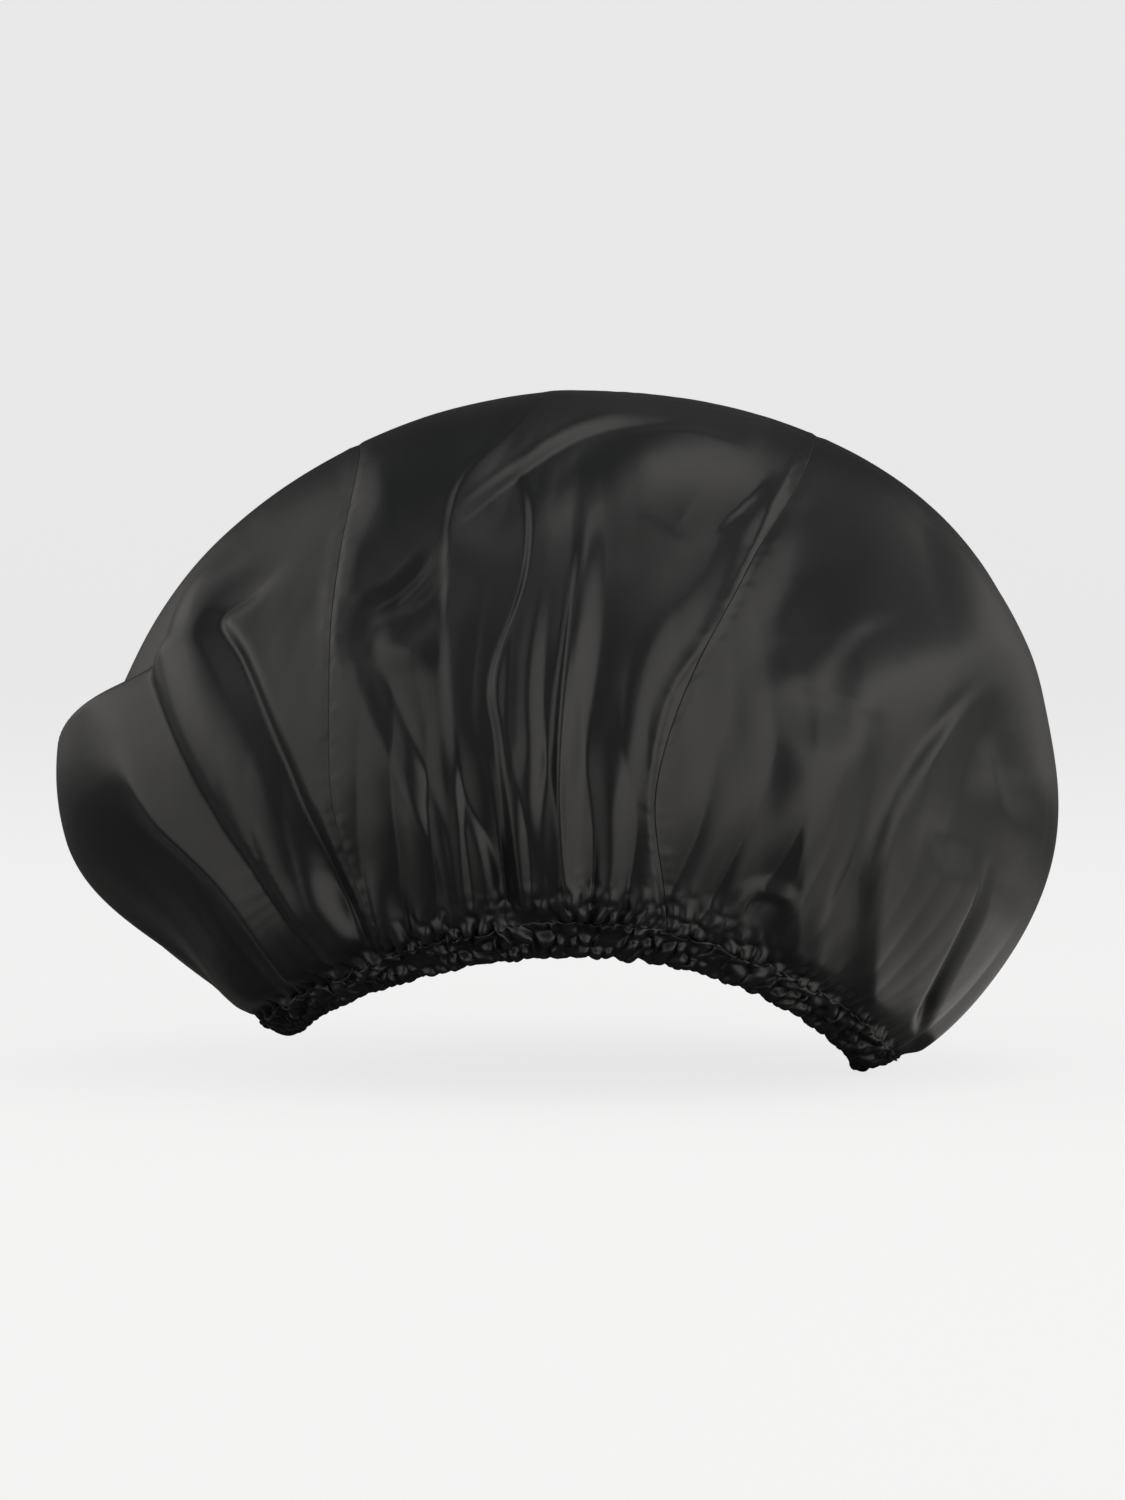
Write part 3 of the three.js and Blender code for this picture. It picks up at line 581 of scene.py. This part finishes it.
def fold_height(points, bearing, distance):
    """Height of all folds over the smooth cloth."""
    depth = points[..., 1] + FOLD_END_WAVER * np.sin(points[..., 2] / FOLD_END_WAVER_HEIGHT)
    rise = 1 - distance / meridian_length(bearing)
    folds = smoothstep(depth, FRONT_FOLD_END, FRONT_FOLD_FULL) * front_folds(*to_pixels(points))
    folds += smoothstep(depth, BACK_PLEAT_START, BACK_PLEAT_FULL) * back_pleats(bearing, rise)
    side_folds = SIDE_FOLD_DEPTH * rise * np.abs(wave_sum(SIDE_WAVES, bearing, distance))
    folds += smoothstep(depth, FRONT_FOLD_FULL, FRONT_FOLD_END) * side_folds
    level = points[..., 2] + WING_SLANT * np.sin(bearing)
    wing_drop = WING_TOP - WING_FULL_TOP + WING_SOFTENING * np.maximum(0, np.sin(bearing))
    wing = smoothstep(WING_TOP - level, 0, wing_drop)
    wing = wing * smoothstep(level, WING_BOTTOM, WING_FULL_BOTTOM)
    folds += WING_REACH * wing * np.maximum(0, -np.cos(bearing)) ** WING_NARROWNESS
    return folds * smoothstep(distance, PANEL_START, PANEL_START + FOLD_FADE) + gathers(bearing, distance)


# Meshes


def add_object(name, points, faces, material, node):
    """One piece of the bonnet, from points in millimetres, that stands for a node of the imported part."""
    mesh = bpy.data.meshes.new(name)
    mesh.from_pydata((points * MM).tolist(), [], faces)
    mesh.polygons.foreach_set("use_smooth", [True] * len(mesh.polygons))
    mesh.materials.append(material)
    piece = bpy.data.objects.new(name, mesh)
    bpy.context.collection.objects.link(piece)
    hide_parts(node)
    return piece


def grid_faces(rows, columns, closed_rows=False, closed_columns=False):
    """Quads of a grid of points numbered row by row."""
    here = np.arange(rows * columns).reshape(rows, columns)
    if closed_rows:
        here = np.concatenate([here, here[:1]])
    if closed_columns:
        here = np.concatenate([here, here[:, :1]], axis=1)
    quads = np.stack([here[:-1, :-1], here[:-1, 1:], here[1:, 1:], here[1:, :-1]], axis=-1)
    return quads.reshape(-1, 4).tolist()


def add_map(piece, grid):
    """A map in metres: its first axis runs from row to row of the grid, its second from column to column."""
    lengthways = np.linalg.norm(np.diff(grid, axis=0), axis=2).mean(axis=1)
    sideways = np.linalg.norm(np.diff(grid, axis=1), axis=2).mean(axis=0)
    run = np.concatenate([[0], np.cumsum(lengthways)]) * MM
    breadth = np.concatenate([[0], np.cumsum(sideways)]) * MM
    places = np.stack(np.meshgrid(run, breadth, indexing="ij"), axis=2).reshape(-1, 2)
    corners = np.empty(len(piece.data.loops), int)
    piece.data.loops.foreach_get("vertex_index", corners)
    piece.data.uv_layers.new(name=CLOTH_MAP).data.foreach_set("uv", places[corners].ravel())


def add_sheet(name, grid, material, node):
    """A sheet through a grid of points."""
    rows, columns = grid.shape[:2]
    piece = add_object(name, grid.reshape(-1, 3), grid_faces(rows, columns), material, node)
    add_map(piece, grid)
    return piece


def add_strand(name, grid, material, node, closed=False):
    """A strand through rings of points, capped at both ends unless it is a loop."""
    rings, sides = grid.shape[:2]
    faces = grid_faces(rings, sides, closed_rows=closed, closed_columns=True)
    if not closed:
        last = (rings - 1) * sides
        faces += [list(range(sides))[::-1], list(range(last, last + sides))]
    piece = add_object(name, grid.reshape(-1, 3), faces, material, node)
    add_map(piece, grid)
    return piece


# Seams and panels


FRONT_SHARES = np.linspace(0, 1, FRONT_ROWS, endpoint=False)
ROWS = np.concatenate(
    [-1 + FRONT_SHARES * (HEM_ROW_SHARE + (1 - HEM_ROW_SHARE) * FRONT_SHARES), np.linspace(0, 1, BACK_ROWS)]
)


def seam_places(side, rows):
    places = even_path(SEAM_POINTS[side], (rows + 1) / 2)
    on_hem = np.abs(rows) == 1
    places[on_hem] = unit(places[on_hem])
    return places


def pole_places(side, rows):
    turn = np.pi - rows * POLE_ANGLE if side == "left" else rows * POLE_ANGLE
    return np.stack([np.cos(turn), np.sin(turn)], axis=1)


def cloth_surface(places):
    across, along = places[..., 0], places[..., 1]
    bearing, distance = place_on_cloth(across, along)
    points = cloth_point(bearing, distance)
    normals = smooth_normal(across, along)
    return points + normals * fold_height(points, bearing, distance)[..., None], normals


SeamFrame = namedtuple("SeamFrame", "points out across")


def seam_frame(side, rows):
    """Points of a seam on the cloth, the way out of the cloth and the way across the seam."""
    points, out = cloth_surface(seam_places(side, rows))
    run = unit(np.gradient(points, axis=0))
    across = unit(np.cross(run, out))
    return SeamFrame(points, np.cross(across, run), across)


SEAMS = {side: seam_frame(side, ROWS) for side in SEAM_POINTS}


def along_seam(seam, across, out):
    """A line beside a seam, at distances across it and out of the cloth."""
    return seam.points + seam.across * np.reshape(across, (-1, 1)) + seam.out * np.reshape(out, (-1, 1))


def draw_in(grid, normals, seam, hand):
    """Pulls the cloth beside a seam down and off its middle line, with small puckers along the stitches."""
    away = np.linalg.norm(grid - seam.points[:, None], axis=2)
    run = run_along(seam.points)[:, None]
    pucker = sum(np.cos(2 * np.pi * run / length + hand * length) for length in PUCKER_LENGTHS)
    pucker = PUCKER_DEPTH * pucker * np.exp(-((away / PUCKER_WIDTH) ** 2))
    dip = SEAM_DIP * np.exp(-((away / SEAM_DIP_WIDTH) ** 2))
    aside = hand * VISIBLE_GAP / 2 * np.exp(-away / SEAM_DIP_WIDTH)
    lift = pucker * smoothstep(away, 0, 1) - dip
    return grid + normals * lift[..., None] + seam.across[:, None] * aside[..., None]


def turned_edge(seam, hand):
    """The seam allowance: columns of points from the fold down to the raw edge."""
    depths = np.linspace(0, SEAM_ALLOWANCE, FLANGE_COLUMNS + 1)[1:]
    spread = VISIBLE_GAP + (SEAM_GAP - VISIBLE_GAP) * np.minimum(1, depths / CLOTH_THICKNESS)
    places = zip(depths, spread)
    return [along_seam(seam, hand * gap / 2, -SEAM_DIP - depth)[:, None] for depth, gap in places]


def make_panel(name, material, node, columns, left_seam=None, right_seam=None):
    """One panel between two seams, or between a seam and the place on the hem where it runs out."""
    start = seam_places(left_seam, ROWS) if left_seam else pole_places("left", ROWS)
    end = seam_places(right_seam, ROWS) if right_seam else pole_places("right", ROWS)
    shares = np.linspace(0, 1, columns)
    shares[1] = SEAM_EDGE_SHARE
    shares[-2] = 1 - SEAM_EDGE_SHARE
    share = shares[None, :, None]
    straight = start[:, None] * (1 - share) + end[:, None] * share
    start_turn = np.arctan2(start[:, 1], start[:, 0])
    end_turn = np.arctan2(end[:, 1], end[:, 0])
    start_turn -= 2 * np.pi * np.round((start_turn - end_turn) / (2 * np.pi))
    turn = start_turn[:, None] * (1 - share[..., 0]) + end_turn[:, None] * share[..., 0]
    radius = np.hypot(*start.T)[:, None] * (1 - share[..., 0]) + np.hypot(*end.T)[:, None] * share[..., 0]
    curved = np.stack([radius * np.cos(turn), radius * np.sin(turn)], axis=2)
    closeness = (np.abs(ROWS) ** HEM_CLOSENESS)[:, None, None]
    grid, normals = cloth_surface(straight * (1 - closeness) + curved * closeness)
    left_edge, right_edge = [], []
    if left_seam:
        grid = draw_in(grid, normals, SEAMS[left_seam], 1)
        left_edge = turned_edge(SEAMS[left_seam], 1)[::-1]
    if right_seam:
        grid = draw_in(grid, normals, SEAMS[right_seam], -1)
        right_edge = turned_edge(SEAMS[right_seam], -1)
    panel = add_sheet(name, np.concatenate([*left_edge, grid, *right_edge], axis=1), material, node)
    solid = panel.modifiers.new("cloth thickness", "SOLIDIFY")
    solid.thickness = SEWN_THICKNESS * MM
    solid.offset = -1
    return panel


def ring_section(diameter):
    turn = np.arange(THREAD_SIDES) * 2 * np.pi / THREAD_SIDES
    return diameter / 2 * np.cos(turn), diameter / 2 * np.sin(turn)


def make_seam_thread(name, material, node, seam):
    run = run_along(seam.points)
    depth = -SEAM_DIP - CLOTH_THICKNESS + STITCH_WAVE * np.cos(2 * np.pi * run / STITCH_LENGTH)
    rings = [along_seam(seam, across, depth + out) for across, out in zip(*ring_section(THREAD_DIAMETER))]
    return add_strand(name, np.stack(rings, axis=1)[SEAM_END_ROWS:-SEAM_END_ROWS], material, node)


def make_overlock(name, material, node, seam):
    """The overlock edging that binds both raw edges, ribbed by its loops."""
    run = run_along(seam.points)
    rib = LOOP_HEIGHT * np.abs(np.sin(np.pi * run / LOOP_LENGTH))
    inside = SEAM_GAP / 2 + CLOTH_THICKNESS + CLEARANCE
    outside = inside + OVERLOCK_WALL
    floor = -SEAM_DIP - SEAM_ALLOWANCE - CLEARANCE
    top = floor + OVERLOCK_HEIGHT
    bottom = floor - OVERLOCK_WALL
    section = [
        (outside, top, 0), (outside, (top + bottom) / 2, 1), (outside, bottom, 1), (0, bottom, 1),
        (-outside, bottom, 1), (-outside, (top + bottom) / 2, 1), (-outside, top, 0), (-inside, top, 0),
        (-inside, floor, 0), (inside, floor, 0), (inside, top, 0),
    ]
    rings = []
    for across, out, ribbed in section:
        widened = across + np.sign(across) * ribbed * rib
        lowered = out - ribbed * rib * (out < floor)
        rings.append(along_seam(seam, widened, lowered))
    return add_strand(name, np.stack(rings, axis=1)[SEAM_END_ROWS:-SEAM_END_ROWS], material, node)


# Hem


HemFrame = namedtuple("HemFrame", "bearing edge rise out round")


def hem_frame(bearing):
    """Frames on the hem edge: rise runs up to the start of the panels, and out is square to it."""
    edge = cloth_point(bearing, np.zeros(bearing.shape))
    rise = cloth_point(bearing, np.full(bearing.shape, PANEL_START)) - edge
    ahead = cloth_point(bearing + PROBE, np.zeros(bearing.shape))
    behind = cloth_point(bearing - PROBE, np.zeros(bearing.shape))
    round_hem = unit(ahead - behind)
    return HemFrame(bearing, edge, rise, unit(np.cross(round_hem, rise)), round_hem)


def on_hem(hem, up, out, aside=0.0):
    """Points at heights above the hem edge, distances out of it and distances along it."""
    up, out, aside = (np.broadcast_to(value, hem.bearing.shape)[:, None] for value in (up, out, aside))
    return hem.edge + hem.rise * up / PANEL_START + hem.out * out + hem.round * aside


HEM = hem_frame(np.arange(HEM_STEPS) * 2 * np.pi / HEM_STEPS)


def lap_widening(bearing):
    turn = np.abs(np.angle(np.exp(1j * (bearing - LAP_BEARING))))
    flat = LAP_ANGLE / 2 + RAMP_ANGLE
    return LAP_EXTRA_WIDTH * (1 - smoothstep(turn, flat, flat + RAMP_ANGLE))


def make_casing(name, material, node):
    """The hem casing: one ruched strip that runs up the outside, round the fold and up the inside."""
    bearing = HEM.bearing
    edge_wave = HEM_EDGE_WAVE * wave_sum(EDGE_WAVES, bearing, 0)
    inner_face = -CLOTH_THICKNESS - TUNNEL_WIDTH - lap_widening(bearing)
    mouth_face = -CLOTH_THICKNESS - MOUTH_WIDTH
    skin, lining = [], []
    for up in np.linspace(PANEL_START + CASING_LAP, CASING_FOLD_HEIGHT, WALL_STEPS):
        lap = CASING_LAP_STEP * smoothstep(up, CASING_HEIGHT - CASING_LAP, PANEL_START)
        puff = gathers(bearing, up) + lap
        slide = RUCHE_SLIDE * smoothstep(up, CASING_FOLD_HEIGHT, TUNNEL_TOP)
        slide = slide * wave_sum(SLIDE_WAVES, bearing, up)
        lower = edge_wave * (1 - up / CASING_HEIGHT)
        skin.append(on_hem(HEM, up + lower, puff, slide))
        lining.append(on_hem(HEM, up + lower, puff - SEWN_THICKNESS, slide))
    outer_puff = gathers(bearing, CASING_FOLD_HEIGHT)
    inner_puff = INNER_RUCHE_DEPTH * puffs(wave_sum(INNER_WAVES, bearing, 0))
    for turn in np.linspace(0, np.pi, BEND_STEPS + 2)[1:-1]:
        share = (1 - np.cos(turn)) / 2
        drop = CASING_FOLD_HEIGHT * np.sin(turn)
        outside = outer_puff * (1 - share) + (inner_face - CLOTH_THICKNESS - inner_puff) * share
        inside = (outer_puff - SEWN_THICKNESS) * (1 - share) + (inner_face - inner_puff) * share
        skin.append(on_hem(HEM, CASING_FOLD_HEIGHT - drop + edge_wave, outside))
        lining.append(on_hem(HEM, CASING_FOLD_HEIGHT - drop * LINING_DROP_SHARE + edge_wave, inside))
    for up in np.linspace(CASING_FOLD_HEIGHT, TUNNEL_TOP, INNER_WALL_STEPS):
        puff = INNER_RUCHE_DEPTH * puffs(wave_sum(INNER_WAVES, bearing, up - CASING_FOLD_HEIGHT))
        lower = edge_wave * (1 - up / CASING_HEIGHT)
        skin.append(on_hem(HEM, up + lower, inner_face - CLOTH_THICKNESS - puff))
        lining.append(on_hem(HEM, up + lower, inner_face - CLOTH_THICKNESS + SEWN_THICKNESS - puff))
    skin.append(on_hem(HEM, CASING_HEIGHT, mouth_face - CLOTH_THICKNESS))
    lining.append(on_hem(HEM, CASING_HEIGHT, mouth_face - CLOTH_THICKNESS + SEWN_THICKNESS))
    grid = np.stack(skin + lining[::-1], axis=1)
    return add_strand(name, grid, material, node, closed=True)


def make_hem_thread(name, material, node):
    stitches = round(2 * np.pi * LEFT.opening / STITCH_LENGTH)
    height = CASING_HEIGHT - THREAD_DIAMETER - STITCH_WAVE * (1 - np.cos(stitches * HEM.bearing))
    depth = -CLOTH_THICKNESS - MOUTH_WIDTH / 2
    rings = [on_hem(HEM, height + up, depth + out) for up, out in zip(*ring_section(THREAD_DIAMETER))]
    return add_strand(name, np.stack(rings, axis=1), material, node, closed=True)


def make_elastic(name, material, node):
    """The elastic band, laid once round and lapped at the middle of the back."""
    travelled = np.linspace(0, 2 * np.pi + LAP_ANGLE, HEM_STEPS)
    hem = hem_frame(LAP_START + travelled)
    ramp = 1 - smoothstep(2 * np.pi - travelled, RAMP_END_ANGLE, RAMP_ANGLE)
    start = -CLOTH_THICKNESS - CLEARANCE - (ELASTIC_THICKNESS + CLEARANCE) * ramp
    corners = [(ELASTIC_BOTTOM, 0), (ELASTIC_TOP, 0), (ELASTIC_TOP, 1), (ELASTIC_BOTTOM, 1)]
    rings = [on_hem(hem, up, start - layer * ELASTIC_THICKNESS) for up, layer in corners]
    return add_strand(name, np.stack(rings, axis=1), material, node)


def make_bar_tack(name, material, node):
    """A zigzag of thread on the inner face of the elastic's lapped ends."""
    depth = CLOTH_THICKNESS + 3 * CLEARANCE + 2 * ELASTIC_THICKNESS + THREAD_DIAMETER / 2
    low = ELASTIC_BOTTOM + THREAD_DIAMETER
    high = ELASTIC_TOP - THREAD_DIAMETER
    strokes = 2 * BAR_TACK_TURNS
    share = np.linspace(0, 1, strokes * 8 + 1)
    hem = hem_frame(LAP_START + LAP_ANGLE * (BAR_TACK_MARGIN + (1 - 2 * BAR_TACK_MARGIN) * share))
    zigzag = np.arccos(np.cos(np.pi * strokes * share)) / np.pi
    path = on_hem(hem, low + (high - low) * zigzag, -depth)
    run = unit(np.gradient(path, axis=0))
    across = unit(np.cross(run, hem.out))
    rings = [path + across * a + hem.out * b for a, b in zip(*ring_section(THREAD_DIAMETER))]
    return add_strand(name, np.stack(rings, axis=1), material, node)


# Materials


def new_material(name, color, roughness):
    material = bpy.data.materials.new(name)
    material.use_nodes = True
    shader = material.node_tree.nodes["Principled BSDF"]
    shader.inputs["Base Color"].default_value = (*color, 1)
    shader.inputs["Roughness"].default_value = roughness
    return material, shader


def add_node(material, kind, links=(), **values):
    """A shader node with its inputs set by name, and links given as (input, output socket)."""
    node = material.node_tree.nodes.new(kind)
    for name, value in values.items():
        node.inputs[name].default_value = value
    for name, source in links:
        material.node_tree.links.new(source, node.inputs[name])
    return node


def add_cloth_detail(material, shader, cloth):
    """Weave ribs and fine creases in the surface, and a slight drift of the dye."""
    places = add_node(material, "ShaderNodeUVMap")
    places.uv_map = CLOTH_MAP
    place = [("Vector", places.outputs["UV"])]
    weave = add_node(
        material, "ShaderNodeTexWave", place, Scale=1 / cloth.weave_pitch, Distortion=WEAVE_DISTORTION
    )
    ribs = add_node(
        material, "ShaderNodeBump", [("Height", weave.outputs["Fac"])],
        Strength=BUMP_STRENGTH, Distance=cloth.weave_depth,
    )
    crease = add_node(material, "ShaderNodeTexNoise", place, Scale=CREASE_SCALE, Detail=CREASE_DETAIL)
    creases = add_node(
        material, "ShaderNodeBump", [("Height", crease.outputs["Fac"]), ("Normal", ribs.outputs["Normal"])],
        Strength=BUMP_STRENGTH, Distance=CREASE_DEPTH,
    )
    drift = add_node(material, "ShaderNodeTexNoise", place, Scale=DYE_SCALE, Detail=DYE_DETAIL)
    dye = add_node(material, "ShaderNodeMix", [("Factor", drift.outputs["Fac"])])
    dye.data_type = "RGBA"
    dye.inputs["A"].default_value = (*cloth.dark, 1)
    dye.inputs["B"].default_value = (*cloth.light, 1)
    material.node_tree.links.new(creases.outputs["Normal"], shader.inputs["Normal"])
    material.node_tree.links.new(dye.outputs["Result"], shader.inputs["Base Color"])


def make_cloth(cloth):
    material, shader = new_material(cloth.name, cloth.color, cloth.roughness)
    add_cloth_detail(material, shader, cloth)
    return material, shader


def make_satin():
    """Satin, with gloss drawn out in one direction of the cloth map, a little sheen and no coat."""
    material, shader = make_cloth(SATIN)
    shader.inputs["Specular IOR Level"].default_value = SATIN_SPECULAR
    shader.inputs["Anisotropic"].default_value = SATIN_ANISOTROPY
    shader.inputs["Sheen Weight"].default_value = SATIN_SHEEN
    shader.inputs["Sheen Roughness"].default_value = SATIN_SHEEN_ROUGHNESS
    tangent = add_node(material, "ShaderNodeTangent")
    tangent.direction_type = "UV_MAP"
    tangent.uv_map = CLOTH_MAP
    material.node_tree.links.new(tangent.outputs["Tangent"], shader.inputs["Tangent"])
    return material


def make_backdrop_material():
    """Pale grey that glows for the camera alone, and is clear when it is seen from its back."""
    material, shader = new_material("pale backdrop", (BACKDROP_GREY,) * 3, BACKDROP_ROUGHNESS)
    links = material.node_tree.links
    shader.inputs["Emission Color"].default_value = (1, 1, 1, 1)
    light_path = add_node(material, "ShaderNodeLightPath")
    glow = add_node(material, "ShaderNodeMath")
    glow.operation = "MULTIPLY"
    glow.inputs[1].default_value = BACKDROP_GLOW
    links.new(light_path.outputs["Is Camera Ray"], glow.inputs[0])
    links.new(glow.outputs[0], shader.inputs["Emission Strength"])
    geometry = add_node(material, "ShaderNodeNewGeometry")
    clear = add_node(material, "ShaderNodeBsdfTransparent")
    one_sided = add_node(material, "ShaderNodeMixShader", [("Fac", geometry.outputs["Backfacing"])])
    links.new(shader.outputs["BSDF"], one_sided.inputs[1])
    links.new(clear.outputs["BSDF"], one_sided.inputs[2])
    links.new(one_sided.outputs["Shader"], material.node_tree.nodes["Material Output"].inputs["Surface"])
    return material


# Assembly

satin = make_satin()
thread, _ = make_cloth(THREAD)
elastic, _ = make_cloth(ELASTIC)
left_panel = make_panel("left_panel_satin", satin, "left_side_panel", SIDE_COLUMNS, right_seam="left")
centre_panel = make_panel("centre_panel_satin", satin, "centre_panel", CENTRE_COLUMNS, "left", "right")
right_panel = make_panel("right_panel_satin", satin, "right_side_panel", SIDE_COLUMNS, left_seam="right")
casing = make_casing("hem_casing_satin", satin, "hem_casing")
threads = [
    make_seam_thread("left_seam_stitches", thread, "left_seam_thread", SEAMS["left"]),
    make_seam_thread("right_seam_stitches", thread, "right_seam_thread", SEAMS["right"]),
    make_overlock("left_seam_edging", thread, "left_seam_overlock", SEAMS["left"]),
    make_overlock("right_seam_edging", thread, "right_seam_overlock", SEAMS["right"]),
    make_hem_thread("hem_stitches", thread, "hem_thread"),
    make_bar_tack("bar_tack", thread, "elastic_join_thread"),
]
band = make_elastic("elastic_strip", elastic, "elastic_band")

for piece in [left_panel, centre_panel, right_panel, casing, *threads, band]:
    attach(piece, BODY)

# Stage, lights and camera


def make_backdrop():
    turns = np.linspace(0, np.pi / 2, BACKDROP_BEND_STEPS)[1:]
    profile = [(-FLOOR_REACH, FLOOR_LEVEL), (FLOOR_REACH, FLOOR_LEVEL)]
    for turn in turns:
        along = FLOOR_REACH + BACKDROP_BEND * np.sin(turn)
        profile.append((along, FLOOR_LEVEL + BACKDROP_BEND * (1 - np.cos(turn))))
    profile.append((FLOOR_REACH + BACKDROP_BEND, BACKDROP_HEIGHT))
    points = [(x, y, z) for y, z in profile for x in (-BACKDROP_REACH, BACKDROP_REACH)]
    mesh = bpy.data.meshes.new("backdrop")
    mesh.from_pydata(points, [], grid_faces(len(profile), 2))
    mesh.polygons.foreach_set("use_smooth", [True] * len(mesh.polygons))
    mesh.materials.append(make_backdrop_material())
    backdrop = bpy.data.objects.new("backdrop", mesh)
    bpy.context.collection.objects.link(backdrop)
    return backdrop


def add_softbox(lamp, target):
    """A rectangular lamp that faces its target."""
    light = bpy.data.lights.new(lamp.name, "AREA")
    light.shape = "RECTANGLE"
    light.size = lamp.width
    light.size_y = lamp.height
    light.energy = lamp.watts
    light.color = LAMP_COLOR
    softbox = bpy.data.objects.new(lamp.name, light)
    softbox.location = lamp.place
    softbox.rotation_euler = (Vector(target) - Vector(lamp.place)).to_track_quat("-Z", "Y").to_euler()
    bpy.context.collection.objects.link(softbox)
    return softbox


def make_world():
    world = bpy.data.worlds.new("studio")
    world.use_nodes = True
    world.node_tree.nodes["Background"].inputs["Color"].default_value = (*WORLD_COLOR, 1)
    return world


def make_camera():
    """The photograph's camera."""
    data = bpy.data.cameras.new("camera")
    data.sensor_width = SENSOR
    data.lens = SENSOR * CAMERA_DISTANCE / (FRAME_HEIGHT * PIXEL)
    data.clip_end = CAMERA_CLIP_END
    camera = bpy.data.objects.new("camera", data)
    backwards = np.array([0, -np.cos(CAMERA_RISE), np.sin(CAMERA_RISE)])
    camera.location = (CAMERA_TARGET + CAMERA_DISTANCE * backwards) * MM
    camera.rotation_euler = (np.pi / 2 - CAMERA_RISE, 0, 0)
    bpy.context.collection.objects.link(camera)
    return camera


backdrop = make_backdrop()
for lamp in LAMPS:
    add_softbox(lamp, MIDDLE)
for card in CARDS:
    across, along, _ = card.place
    add_softbox(card, (across, along, 1)).visible_camera = False
bpy.context.scene.world = make_world()
bpy.context.scene.camera = make_camera()
bpy.context.scene.view_settings.view_transform = "Standard"
